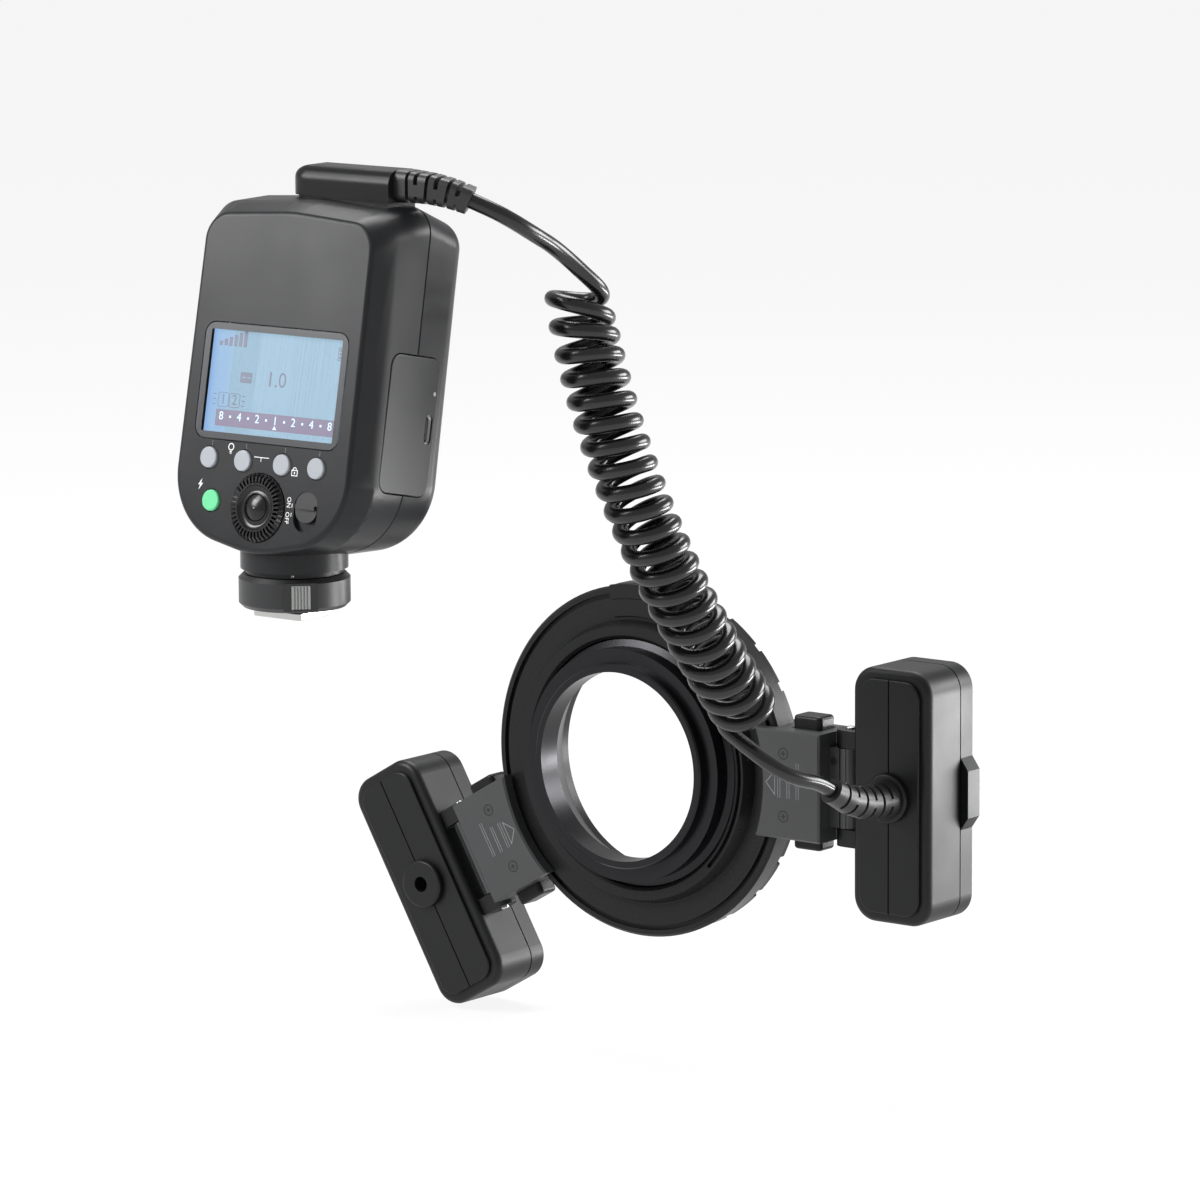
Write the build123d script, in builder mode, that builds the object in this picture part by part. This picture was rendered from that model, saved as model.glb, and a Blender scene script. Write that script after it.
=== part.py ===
"""Twin macro flash: a hot-shoe control unit, a lens ring and two clip-on flash heads.

Millimetres, +Z up. The origin is the centre of the hot-shoe foot's underside, +Y points at
the subject along the lens axis, and +X is the photographer's right.
"""
import os
from math import ceil, cos, pi, radians, sin, sqrt, tan

from build123d import *

os.makedirs("parts", exist_ok=True)

# Clearances
running = 0.06          # radial gap of a pin in its bore
sliding = 0.3           # gap on each side of a part that slides or turns
seat = 0.1              # gap on each side of a part that is only dropped in

# Control unit: the operator's panel leans towards the subject
lean = 11.2             # degrees
panel_y = -9.6
panel_z = 71.1
body_depth = 44.5
seam_depth = 22.5
wall = 2.4
rear_half_low, rear_half_top, rear_bottom, rear_top = 33.7, 32.6, -51.8, 52.4
flare_depth = 8.0       # the edge round the panel widens over this depth
flare_half_low, flare_half_top, flare_bottom, flare_top = 37.1, 36.0, -52.3, 57.0
seam_half_low, seam_half_top, seam_bottom, seam_top = 37.3, 36.2, -51.0, 60.0
front_half_low, front_half_top, front_bottom, front_top = 35.6, 34.2, -48.5, 56.0
bottom_rise = 7.2       # how far the lower corners stand above the middle of the bottom
top_drop = 2.2          # how far the upper corners lie below the middle of the top
low_corner = 22.0
top_corner = 9.0
bottom_bend = 42.0
top_bend = 60.0
rear_edge_round = 1.8
rear_inner_round = 1.0
front_edge_round = 9.0
front_inner_round = 6.6
seam_groove = 0.35

# Display
window_width, window_height, window_corner = 56.4, 35.6, 4.0
window_thick = 1.3
glass_width, glass_height = 51.6, 31.2
module_width, module_height = 54.0, 34.0

# Buttons, dial and switch on the panel
button_radius = 3.25
button_proud = 0.8
button_travel = 0.8
flange_extra = 0.8
flange_thick = 0.8
button_row = -23.4
button_columns = {"mode": -21.05, "lamp": -7.65, "menu": 7.65, "ratio": 21.05}
test_column, test_row = -18.4, -36.3
dial_row = -37.0
dial_radius = 10.3
dial_proud = 1.6
dial_recess = 1.3
dial_tube_end = 5.6
dial_tube_radius = 5.2
dial_rib_inner = 6.9
dial_rib_count = 40
dial_rib_gap = 0.7
dial_rib_deep = 1.3
set_radius = 3.9
set_proud, set_dome = 2.0, 1.1
set_stem_radius = 2.3
switch_column, switch_row = 18.6, -36.8
switch_width, switch_slot = 9.0, 12.4
switch_recess = 1.6
switch_travel = 3.0
switch_stem, switch_stem_long = 3.0, 2.4
switch_bar = 1.3

# Inside the control unit
board_thick = 1.6
board_half_width, board_low, board_high = 23.1, -42.0, 44.5
dome_gap = 0.05
dome_size = 4.0
post_radius = 3.2
post_high_column, post_high = 27.2, 42.5
post_low_column, post_low = 26.4, -32.9
screw_radius, screw_head_radius, screw_head_thick = 1.0, 2.0, 1.4
screw_seat = 7.4        # depth of the head's seat below the front face
capacitor_radius, capacitor_length, capacitor_row = 10.5, 46.0, 34.0

# Battery pack, slid in from the right
pack_low, pack_high = -28.4, 13.7
pack_width = 23.8
pack_face = 36.7
pack_length = 60.0
pack_face_thick = 2.2
pack_body_inset = 0.6
pack_corner = 4.0
pack_gap = 0.25
bay_wall = 1.2
usb_length, usb_width, usb_deep = 8.94, 3.26, 6.5
usb_row, usb_depth = -7.9, 31.4
lamp_row, lamp_radius = 3.0, 0.7

bay_inner_width = pack_width - 2 * pack_body_inset + 2 * sliding
bay_inner_height = pack_high - pack_low - 2 * pack_body_inset + 2 * sliding
bay_mouth = 32.8
board_depth = seam_depth - bay_inner_width / 2 - bay_wall - board_thick

# Foot: shoe plate to the accessory-shoe standard, with its lock
shoe_width, shoe_length, shoe_thick = 18.6, 18.0, 2.0
rail_gap, rail_room = 12.3, 1.0
post_foot_radius = 10.0
collar_radius, collar_height, collar_chamfer = 17.0, 10.1, 1.3
grip_angle, grip_width, grip_proud = -44.0, 10.3, 0.9
insert_width, insert_deep, insert_proud, insert_ribs, insert_rib_deep = 5.7, 1.2, 0.3, 6, 0.5
neck_step_radius, neck_step = 14.8, 1.5
neck_radius, neck_top = 16.4, 21.0
lock_pin_radius, lock_pin_y, lock_pin_down, lock_pin_up = 0.9, 6.6, 1.2, 8.0
contact_radius, contact_proud, contact_up = 0.8, 0.3, 5.0
contact_places = [(0.0, 0.0), (-3.6, 2.2), (3.6, 2.2), (-3.6, -3.4), (3.6, -3.4)]
foot_screw_column, foot_screw_row = 4.6, 7.2
foot_screw_radius, foot_screw_head, foot_screw_up = 0.7, 1.4, 7.0

# Cable block on top of the control unit
block_left, block_right = -14.0, 26.3
block_y, block_depth = 22.0, 15.0
block_base, block_top = 126.0, 135.2
block_seat = 120.6
block_base_inset = 1.0
block_round = 4.4
block_end_round = 8.2

# Strain reliefs
upper_relief_z = 130.3
upper_relief_width, upper_relief_tip = 10.0, 8.0
upper_relief_steps = [(4.8, 0, 0, 0), (6.2, 0, 7, 8), (6.2, 0, 8, 10), (6.2, 0, 9, 10)]
relief_top_notch, relief_top_notch_deep = 1.4, 3.8
relief_low_notch, relief_low_notch_deep = 1.0, 2.2
relief_core_extra = 0.8
relief_slot = 1.1
relief_bridge = 2.4
lower_relief_root, lower_relief_tip = 6.4, 4.1
lower_relief_steps = [(3.4, 0, 0, 0), (8.2, -10, 0, 0), (8.4, -11, 0, -3), (8.6, -12, 0, -4)]

# Cord
cord_diameter = 4.9
coil_radius = 8.2
coil_first_turn, coil_last_turn = -0.14, 21.62
coil_steep_until, coil_steepness = 0.25, 22.0
coil_tilt, coil_tilt_until = 0.47, 2.6
coil_axis = [(57.7, 66.0, 96.1), (71.7, 62.0, 45.1), (89.6, 74.0, 0.1), (80.4, 123.0, -40.7)]
screen_right = (0.793, 0.609, 0.0)
upper_tip_run, upper_coil_run = 7.2, 10.1
upper_lead_middles = [(58.5, 34.2, 120.4), (60.8, 40.6, 116.3)]
lower_coil_run, lower_tip_run = 7.3, 5.7
lower_lead_middles = [(93.6, 120.4, -56.2), (97.3, 125.7, -59.5)]

# Lens ring: radii about the lens axis, and depths along it
ring_z = -71.9
adapter_radius, adapter_gap = 40.5, 0.4
lip_lead, lip_width, lip_slope = 1.0, 3.0, 1.7
lip_bore = adapter_radius + adapter_gap
lip_inner = lip_bore + lip_lead
lip_outer = lip_inner + lip_width
lip_foot = lip_outer + lip_slope
lip_y = 168.0
annulus_y = 172.3
ring_reach, rim_front_step = 17.3, 0.8
rim_radius = adapter_radius + ring_reach
rim_front_radius = rim_radius - rim_front_step
groove_from_rim, groove_width, groove_deep = 2.3, 1.6, 1.6
groove_outer = rim_radius - groove_from_rim
groove_inner = groove_outer - groove_width
rim_plate_y, ring_front_y = 181.0, 183.6
front_step = 3.5        # how far the front rim stands inside the adapter's rim
front_bore = adapter_radius - front_step
stop_y = 177.2
notch_count, notch_width, notch_deep = 24, 3.2, 1.3
slot_width, slot_deep = 1.3, 1.6
slot_radius = (lip_inner + lip_outer) / 2
slot_from, slot_to = -44.0, 12.0
cover_width, cover_proud, cover_half_angle = 10.7, 0.4, 11.5
cover_outer = rim_radius + cover_proud
cover_inner = cover_outer - cover_width
cover_y, cover_thick = 171.6, 1.6
cover_line_from_rim, cover_line = 4.4, 0.4
cavity_y, cavity_deep = 173.6, 2.0
slider_gap, slider_width, slider_thick = 2.5, 7.0, 1.6
slider_inner = adapter_radius + slider_gap
slider_outer = slider_inner + slider_width
pad_thick, pad_proud, pad_half, pad_deep = 5.0, 0.5, 10.0, 6.9
pad_outer = rim_radius + pad_proud
pad_inner = pad_outer - pad_thick
web_half = 8.0
release_travel = 1.6
hook_catch, hook_half_angle = 0.6, 12.0
hook_inner = adapter_radius - hook_catch

# Adapter ring with the male filter thread
thread_radius, thread_length, thread_wall = 33.5, 3.0, 2.5
adapter_bore = thread_radius - thread_wall
mouth_wall, flange_step, catch_deep = 5.0, 2.2, 1.2
adapter_mouth = adapter_radius - mouth_wall
flange_radius = adapter_radius - flange_step
catch_radius = adapter_radius - catch_deep
adapter_start, flange_length = 160.2, 5.4
catch_start, catch_end = 173.2, 176.0

# Carriage that clips on the ring, at the ring's three o'clock
carriage_overlap, carriage_reach = 6.2, 17.7     # inside and outside the rim
carriage_inner, carriage_outer = rim_radius - carriage_overlap, rim_radius + carriage_reach
carriage_half = 17.6
carriage_rear, cover_plate_thick = 166.9, 4.4
jaw_y, jaw_thick = 184.1, 3.1
rim_clearance = 0.5
carriage_edge = 1.2
tongue_long, tongue_half_angle = 2.3, 13.0
clip_from_rim, clip_width, clip_y, clip_depth = 8.0, 10.8, 178.0, 8.6
clip_x = rim_radius + clip_from_rim
clip_proud, clip_travel, clip_deep = 4.2, 2.0, 3.8
clip_flange, clip_flange_left, clip_flange_right = 1.8, 1.8, 6.6
cover_screw_from_rim, cover_screw_z, cover_screw_length = 3.8, 10.2, 6.2
cover_screw_x = rim_radius + cover_screw_from_rim
small_head_radius, small_head_thick, small_screw_radius = 1.7, 0.9, 0.9

# Hinge between the carriage and its head
hinge_reach, hinge_y = 5.1, 177.5
hinge_x = carriage_outer + hinge_reach
knuckle_screw_back, knuckle_screw_z, knuckle_head_radius = 3.5, 8.6, 1.3
knuckle_screw_x = hinge_x - knuckle_screw_back
knuckle_radius, knuckle_half = 4.5, 12.9
ear_thick = 5.6
hinge_pin_radius = 1.6
hinge_pin_proud = 0.8
rib_angles = (150, 165, 195, 210)
rib_groove = 0.6

# Flash head
head_reach, head_half_width, head_half_height = 20.4, 14.9, 41.0
head_x = hinge_x + head_reach
head_rear, head_joint, head_front = 170.3, 187.2, 194.8
head_corner = 8.0
head_wall = 1.8
panel_inset, panel_rise, panel_corner = 3.4, 1.2, 5.6
head_edge_round = 2.2
parting_width, parting_deep = 0.5, 0.4
joint_gap, joint_lip = 0.5, 1.0
boss_radius, boss_height, boss_bore = 8.0, 2.2, 2.6
lug_half, lug_tip_half, lug_proud = 11.6, 7.6, 2.8
lamp_half_width, lamp_half_height, lamp_corner = 11.2, 31.0, 2.0
diffuser_thick, diffuser_edge, diffuser_pillow = 2.0, 1.3, 1.4
diffuser_lines, diffuser_line_deep = 12, 0.5
reflector_deep, reflector_wall, reflector_throat, reflector_mouth = 16.0, 0.8, 3.4, 11.4
reflector_half = 31.0
reflector_post_row, reflector_post = 20.0, 3.0
tube_from_back, tube_radius, tube_half, tube_tip_radius, tube_tip = 3.8, 2.2, 28.0, 1.2, 5.0

# Left head: the right one mirrored, then turned down round the ring by two click stops
left_turn = 30.0

panel_normal = Vector(0, -cos(radians(lean)), sin(radians(lean)))
panel = Plane(origin=(0, panel_y, panel_z), x_dir=(1, 0, 0), z_dir=panel_normal)
ring_axis = Axis((0, 0, ring_z), (0, 1, 0))
ring_profile_plane = Plane(origin=(0, 0, ring_z), x_dir=(1, 0, 0), z_dir=(0, 0, 1))


def behind(y):
    """Plane square to the lens axis at y, seen from the photographer's side."""
    return Plane(origin=(0, y, ring_z), x_dir=(1, 0, 0), z_dir=(0, -1, 0))


def save(piece, name):
    """Label one finished piece and write it as its own file."""
    piece.label = name
    export_step(piece, f"parts/{name}.step")


# Control unit housing
def body_section(depth, half_low, half_top, bottom, top, inset):
    """Closed outline of the control unit at one depth below its panel."""
    low = (half_low - inset, bottom + bottom_rise + inset)
    high = (half_top - inset, top - top_drop - inset)
    with BuildSketch(panel.offset(-depth)) as outline:
        with BuildLine():
            FilletPolyline(
                low,
                high,
                (0, top - inset),
                (-high[0], high[1]),
                (-low[0], low[1]),
                (0, bottom + inset),
                radius=[
                    low_corner - inset,
                    top_corner - inset,
                    top_bend - inset,
                    top_corner - inset,
                    low_corner - inset,
                    bottom_bend - inset,
                ],
                close=True,
            )
        make_face()
    return outline.sketch


def body_half(end_sections, edge_round, inset):
    """One half of the body: a ruled loft from the seam outwards, rounded at its outer face."""
    seam_size = (seam_half_low, seam_half_top, seam_bottom, seam_top)
    end_depth = end_sections[-1][0]
    sections = [body_section(seam_depth, *seam_size, inset)]
    if inset == 0:
        step = seam_groove if end_depth > seam_depth else -seam_groove
        sections[0] = body_section(seam_depth, *seam_size, seam_groove)
        sections.append(body_section(seam_depth + step, *seam_size, 0))
    sections += [body_section(*values, inset) for values in end_sections]
    towards_end = panel_normal if end_depth < seam_depth else -panel_normal
    with BuildPart() as half:
        loft(sections, ruled=True)
        end_face = half.faces().sort_by(Axis((0, 0, 0), towards_end))[-1]
        fillet(end_face.edges(), edge_round)
    return half.part


rear_size = (rear_half_low, rear_half_top, rear_bottom, rear_top)
flare_size = (flare_half_low, flare_half_top, flare_bottom, flare_top)
front_size = (front_half_low, front_half_top, front_bottom, front_top)
flare = (flare_depth, *flare_size)
rear_block = body_half([flare, (0.0, *rear_size)], rear_edge_round, 0.0)
rear_cavity = body_half([flare, (wall, *rear_size)], rear_inner_round, wall)
front_block = body_half([(body_depth, *front_size)], front_edge_round, 0.0)
front_cavity = body_half([(body_depth - wall, *front_size)], front_inner_round, wall)

pack_centre_row = (pack_low + pack_high) / 2
pack_height = pack_high - pack_low
pack_plane = Plane(
    origin=panel.from_local_coords(Vector(0, pack_centre_row, -seam_depth)),
    x_dir=panel_normal * -1,
    z_dir=(1, 0, 0),
)
post_places = [
    (sign * column, row)
    for sign in (-1, 1)
    for column, row in ((post_low_column, post_low), (post_high_column, post_high))
]

with BuildPart() as pack_opening:
    with BuildSketch(pack_plane.offset(bay_mouth)):
        RectangleRounded(pack_width + 2 * pack_gap, pack_height + 2 * pack_gap, pack_corner + pack_gap)
    extrude(amount=3 * pack_face_thick)


def block_outline(inset):
    """Plan of the cable block: half round at its closed end, square where the cord leaves."""
    half = block_depth / 2 - inset
    round_x = block_left + block_depth / 2
    with BuildSketch(Plane.XY) as outline:
        with BuildLine():
            Polyline(
                (round_x, block_y - half),
                (block_right - inset, block_y - half),
                (block_right - inset, block_y + half),
                (round_x, block_y + half),
            )
            ThreePointArc(
                (round_x, block_y + half), (round_x - half, block_y), (round_x, block_y - half)
            )
        make_face()
    return outline.sketch


with BuildPart() as seat_cuts:
    with BuildSketch(Plane.XY.offset(neck_top - collar_radius)):
        Circle(neck_radius)
    extrude(amount=collar_radius)
    with BuildSketch(Plane.XY.offset(block_seat)):
        add(block_outline(block_base_inset))
    extrude(amount=block_top - block_seat)

with BuildPart() as rear_shell:
    add(rear_block)
    add(rear_cavity, mode=Mode.SUBTRACT)
    with BuildSketch(panel.offset(-wall)):
        with Locations(*post_places):
            Circle(post_radius)
    extrude(amount=-(seam_depth - wall))
    with BuildSketch(panel.offset(-seam_depth)):
        with Locations(*post_places):
            Circle(screw_radius)
    extrude(amount=board_depth, mode=Mode.SUBTRACT)
    with BuildSketch(panel):
        RectangleRounded(window_width + 2 * seat, window_height + 2 * seat, window_corner + seat)
    extrude(amount=-window_thick, mode=Mode.SUBTRACT)
    with BuildSketch(panel):
        Rectangle(glass_width + 2 * seat, glass_height + 2 * seat)
        with Locations(*[(column, button_row) for column in button_columns.values()]):
            Circle(button_radius + sliding)
        with Locations((test_column, test_row)):
            Circle(button_radius + sliding)
        with Locations((0, dial_row)):
            Circle(dial_tube_radius + running)
        with Locations((switch_column, switch_row)):
            Rectangle(switch_stem + 2 * sliding, switch_stem_long + switch_travel + 2 * sliding)
    extrude(amount=-wall - 1, mode=Mode.SUBTRACT)
    with BuildSketch(panel):
        with Locations((0, dial_row)):
            Circle(dial_radius + sliding)
    extrude(amount=-dial_recess, mode=Mode.SUBTRACT)
    with BuildSketch(panel):
        with Locations((switch_column, switch_row)):
            SlotOverall(switch_slot, switch_width, rotation=90)
    extrude(amount=-switch_recess, mode=Mode.SUBTRACT)
    add(pack_opening.part, mode=Mode.SUBTRACT)
    add(seat_cuts.part, mode=Mode.SUBTRACT)
save(rear_shell.part, "rear_shell")

with BuildPart() as front_posts:
    with BuildSketch(panel.offset(-seam_depth)):
        with Locations(*post_places):
            Circle(post_radius)
    extrude(amount=-(body_depth - seam_depth))
    add(front_block, mode=Mode.INTERSECT)

with BuildPart() as front_shell:
    add(front_block)
    add(front_cavity, mode=Mode.SUBTRACT)
    add(front_posts.part)
    with BuildSketch(panel.offset(-body_depth)):
        with Locations(*post_places):
            Circle(screw_radius)
    extrude(amount=body_depth - seam_depth, mode=Mode.SUBTRACT)
    with BuildSketch(panel.offset(-body_depth)):
        with Locations(*post_places):
            Circle(screw_head_radius + seat)
    extrude(amount=screw_seat, mode=Mode.SUBTRACT)
    add(pack_opening.part, mode=Mode.SUBTRACT)
    add(seat_cuts.part, mode=Mode.SUBTRACT)
save(front_shell.part, "front_shell")

with BuildPart() as case_screws:
    with BuildSketch(panel.offset(-body_depth + screw_seat)):
        with Locations(*post_places):
            Circle(screw_head_radius)
    extrude(amount=-screw_head_thick)
    with BuildSketch(panel.offset(-body_depth + screw_seat)):
        with Locations(*post_places):
            Circle(screw_radius)
    extrude(amount=body_depth - seam_depth - screw_seat + board_depth / 2)
save(case_screws.part, "case_screws")

# Display
with BuildPart() as display_window:
    with BuildSketch(panel):
        RectangleRounded(window_width, window_height, window_corner)
    extrude(amount=-window_thick)
    fillet(display_window.faces().sort_by(Axis((0, 0, 0), panel_normal))[-1].edges(), 0.25)
save(display_window.part, "display_window")

with BuildPart() as lcd_module:
    with BuildSketch(panel.offset(-window_thick)):
        Rectangle(glass_width, glass_height)
    extrude(amount=-(wall - window_thick))
    with BuildSketch(panel.offset(-wall)):
        Rectangle(module_width, module_height)
    extrude(amount=-(board_depth - wall))
save(lcd_module.part, "lcd_module")


# Push buttons: a domed cap, a stem and a flange that keeps it behind the panel
def push_button(column, row):
    with BuildPart() as button:
        with BuildSketch(panel.offset(button_proud)):
            with Locations((column, row)):
                Circle(button_radius)
        extrude(amount=-(button_proud + wall + 2 * flange_thick))
        with BuildSketch(panel.offset(-wall)):
            with Locations((column, row)):
                Circle(button_radius + flange_extra)
        extrude(amount=-flange_thick)
        cap_edges = button.edges().sort_by(Axis((0, 0, 0), panel_normal))[-1:]
        fillet(cap_edges, 0.45)
    return button.part


for word, column in button_columns.items():
    save(push_button(column, button_row), f"{word}_button")
save(push_button(test_column, test_row), "test_button")

# Select dial: an outer band of fine ribs round a dished face, on a tube through the panel
with BuildPart() as select_dial:
    dial_section = Plane(
        origin=panel.from_local_coords(Vector(0, dial_row, 0)), x_dir=(1, 0, 0), z_dir=-panel.y_dir
    )
    with BuildSketch(dial_section):
        with BuildLine():
            Polyline(
                (set_radius + sliding, dial_proud - 0.7),
                (set_radius + sliding, -wall),
                (set_stem_radius + sliding, -wall),
                (set_stem_radius + sliding, -dial_tube_end),
                (dial_tube_radius, -dial_tube_end),
                (dial_tube_radius, -dial_recess + sliding),
                (dial_radius, -dial_recess + sliding),
                (dial_radius, dial_proud - 1.3),
                (dial_radius - 1.1, dial_proud),
                (dial_rib_inner, dial_proud),
            )
            ThreePointArc(
                (dial_rib_inner, dial_proud),
                ((dial_rib_inner + set_radius) / 2 + 0.2, dial_proud - 1.0),
                (set_radius + sliding, dial_proud - 0.7),
            )
        make_face()
    revolve(axis=Axis(dial_section.origin, panel_normal), revolution_arc=360)
    with BuildSketch(panel.offset(dial_proud)):
        with Locations((0, dial_row)):
            with PolarLocations(dial_radius, dial_rib_count):
                Rectangle(2 * (dial_radius - dial_rib_inner) - 1.0, dial_rib_gap)
    extrude(amount=-dial_rib_deep, mode=Mode.SUBTRACT)
save(select_dial.part, "select_dial")

dome_radius = (set_radius**2 + set_dome**2) / (2 * set_dome)
dome_sag = dome_radius - sqrt(dome_radius**2 - (set_radius / 2) ** 2)
dome_middle = (set_radius / 2, set_proud - dome_sag)
with BuildPart() as set_button:
    set_section = Plane(
        origin=panel.from_local_coords(Vector(0, dial_row, 0)), x_dir=(1, 0, 0), z_dir=-panel.y_dir
    )
    with BuildSketch(set_section):
        with BuildLine():
            Polyline(
                (0, set_proud),
                (0, -dial_tube_end - button_travel),
                (set_stem_radius + 0.6, -dial_tube_end - button_travel),
                (set_stem_radius + 0.6, -dial_tube_end),
                (set_stem_radius, -dial_tube_end),
                (set_stem_radius, -wall + button_travel + 0.2),
                (set_radius, -wall + button_travel + 0.2),
                (set_radius, set_proud - set_dome),
            )
            ThreePointArc((set_radius, set_proud - set_dome), dome_middle, (0, set_proud))
        make_face()
    revolve(axis=Axis(set_section.origin, panel_normal), revolution_arc=360)
save(set_button.part, "set_button")

# Power switch: a slider with a raised bar, at the top of its slot when it is on
slider_row = switch_row + switch_travel / 2
slider_length = switch_slot - switch_travel - 2 * seat
with BuildPart() as power_switch:
    with BuildSketch(panel.offset(-switch_recess)):
        with Locations((switch_column, slider_row)):
            RectangleRounded(switch_width - 2 * sliding, slider_length, switch_width / 2 - 2 * sliding)
    extrude(amount=switch_recess - 0.2)
    with BuildSketch(panel.offset(-0.2)):
        with Locations((switch_column, slider_row)):
            Rectangle(switch_width - 1.6, switch_bar)
    extrude(amount=0.9)
    with BuildSketch(panel.offset(-switch_recess)):
        with Locations((switch_column, slider_row)):
            Rectangle(switch_stem, switch_stem_long)
    extrude(amount=-(wall - switch_recess + 2.0))
save(power_switch.part, "power_switch")

# Circuit board behind the panel, with a press dome under each button
with BuildPart() as control_board:
    with BuildSketch(panel.offset(-board_depth)):
        with Locations((0, (board_low + board_high) / 2)):
            Rectangle(2 * board_half_width, board_high - board_low)
    extrude(amount=-board_thick)
    button_end = wall + 2 * flange_thick
    with BuildSketch(panel.offset(-board_depth)):
        with Locations(*[(column, button_row) for column in button_columns.values()]):
            Rectangle(dome_size, dome_size)
        with Locations((test_column, test_row)):
            Rectangle(dome_size, dome_size)
    extrude(amount=board_depth - button_end - button_travel - dome_gap)
    with BuildSketch(panel.offset(-board_depth)):
        with Locations((0, dial_row)):
            Rectangle(dome_size, dome_size)
    extrude(amount=board_depth - dial_tube_end - 2 * button_travel - dome_gap)
    with BuildSketch(panel.offset(-board_depth)):
        with Locations((switch_column, switch_row)):
            Rectangle(dome_size + 2, dome_size + switch_travel)
    extrude(amount=board_depth - wall - 2.0 - dome_gap)
save(control_board.part, "control_board")

with BuildPart() as flash_capacitor:
    capacitor_depth = board_depth + board_thick + capacitor_radius
    capacitor_plane = Plane(
        origin=panel.from_local_coords(Vector(-capacitor_length / 2, capacitor_row, -capacitor_depth)),
        x_dir=panel_normal,
        z_dir=(1, 0, 0),
    )
    with BuildSketch(capacitor_plane):
        Circle(capacitor_radius)
    extrude(amount=capacitor_length)
    fillet(flash_capacitor.edges().filter_by(GeomType.CIRCLE), 0.8)
save(flash_capacitor.part, "flash_capacitor")

# Battery pack, its bay and the spring contacts at the bay's end
pack_end = pack_face - pack_length
with BuildPart() as battery_pack:
    with BuildSketch(pack_plane.offset(pack_face - pack_face_thick)):
        RectangleRounded(pack_width, pack_height, pack_corner)
    extrude(amount=pack_face_thick)
    outer_face = battery_pack.faces().sort_by(Axis.X)[-1]
    fillet(outer_face.edges(), 0.5)
    with BuildSketch(pack_plane.offset(pack_end)):
        RectangleRounded(
            pack_width - 2 * pack_body_inset, pack_height - 2 * pack_body_inset, pack_corner
        )
    extrude(amount=pack_length - pack_face_thick)
    usb_place = (usb_depth - seam_depth, usb_row - pack_centre_row)
    with BuildSketch(pack_plane.offset(pack_face)):
        with Locations(usb_place):
            SlotOverall(usb_length, usb_width, rotation=90)
    extrude(amount=-usb_deep, mode=Mode.SUBTRACT)
    with BuildSketch(pack_plane.offset(pack_face)):
        with Locations((usb_depth + 1.3 - seam_depth, lamp_row - pack_centre_row)):
            Circle(lamp_radius)
    extrude(amount=-0.3, mode=Mode.SUBTRACT)
    with BuildSketch(pack_plane.offset(pack_face - usb_deep)):
        with Locations(usb_place):
            Rectangle(0.7, usb_length - 2.6)
    extrude(amount=usb_deep - 0.8)
save(battery_pack.part, "battery_pack")

contact_length = 3.2
with BuildPart() as battery_bay:
    with BuildSketch(pack_plane.offset(pack_end - contact_length - bay_wall)):
        RectangleRounded(
            bay_inner_width + 2 * bay_wall, bay_inner_height + 2 * bay_wall, pack_corner + bay_wall
        )
    extrude(amount=bay_mouth - pack_end + contact_length + bay_wall)
    with BuildSketch(pack_plane.offset(pack_end - contact_length)):
        RectangleRounded(bay_inner_width, bay_inner_height, pack_corner)
    extrude(amount=bay_mouth - pack_end + contact_length, mode=Mode.SUBTRACT)
save(battery_bay.part, "battery_bay")

with BuildPart() as battery_contacts:
    with BuildSketch(pack_plane.offset(pack_end - contact_length)):
        with GridLocations(5.0, 0, 4, 1):
            Rectangle(1.6, 9.0)
    extrude(amount=contact_length - 0.2)
save(battery_contacts.part, "battery_contacts")

# Foot: neck, lock collar with its thumb grip, shoe plate, lock pin and contact pins
collar_bottom = shoe_thick + rail_room
collar_top = collar_bottom + collar_height
step_bottom = collar_top + 0.2
with BuildPart() as contact_pins:
    with BuildSketch(Plane.XY.offset(-contact_proud)):
        with Locations(*contact_places):
            Circle(contact_radius)
    extrude(amount=contact_proud + contact_up)
    fillet(contact_pins.edges().group_by(Axis.Z)[0], contact_proud)
save(contact_pins.part, "contact_pins")

foot_screw_places = [(i * foot_screw_column, j * foot_screw_row) for i in (-1, 1) for j in (-1, 1)]
with BuildPart() as foot_screws:
    with BuildSketch(Plane.XY):
        with Locations(*foot_screw_places):
            Circle(foot_screw_head)
    extrude(amount=foot_screw_head - foot_screw_radius, taper=45)
    with BuildSketch(Plane.XY):
        with Locations(*foot_screw_places):
            Circle(foot_screw_radius)
    extrude(amount=foot_screw_up)
save(foot_screws.part, "foot_screws")

with BuildPart() as lock_pin:
    with BuildSketch(Plane.XY.offset(-lock_pin_down)):
        with Locations((0, lock_pin_y)):
            Circle(lock_pin_radius)
    extrude(amount=lock_pin_down + lock_pin_up)
    fillet(lock_pin.edges().group_by(Axis.Z)[0], 0.3)
save(lock_pin.part, "lock_pin")

with BuildPart() as shoe_plate:
    with BuildSketch(Plane.XY):
        RectangleRounded(shoe_width, shoe_length, 1.2)
    extrude(amount=shoe_thick)
    chamfer(shoe_plate.edges().group_by(Axis.Z)[0], 0.25)
    with BuildSketch(Plane.XY):
        with Locations((0, lock_pin_y)):
            Circle(lock_pin_radius + seat)
    extrude(amount=shoe_thick, mode=Mode.SUBTRACT)
    add(contact_pins.part, mode=Mode.SUBTRACT)
    add(foot_screws.part, mode=Mode.SUBTRACT)
save(shoe_plate.part, "shoe_plate")

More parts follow.
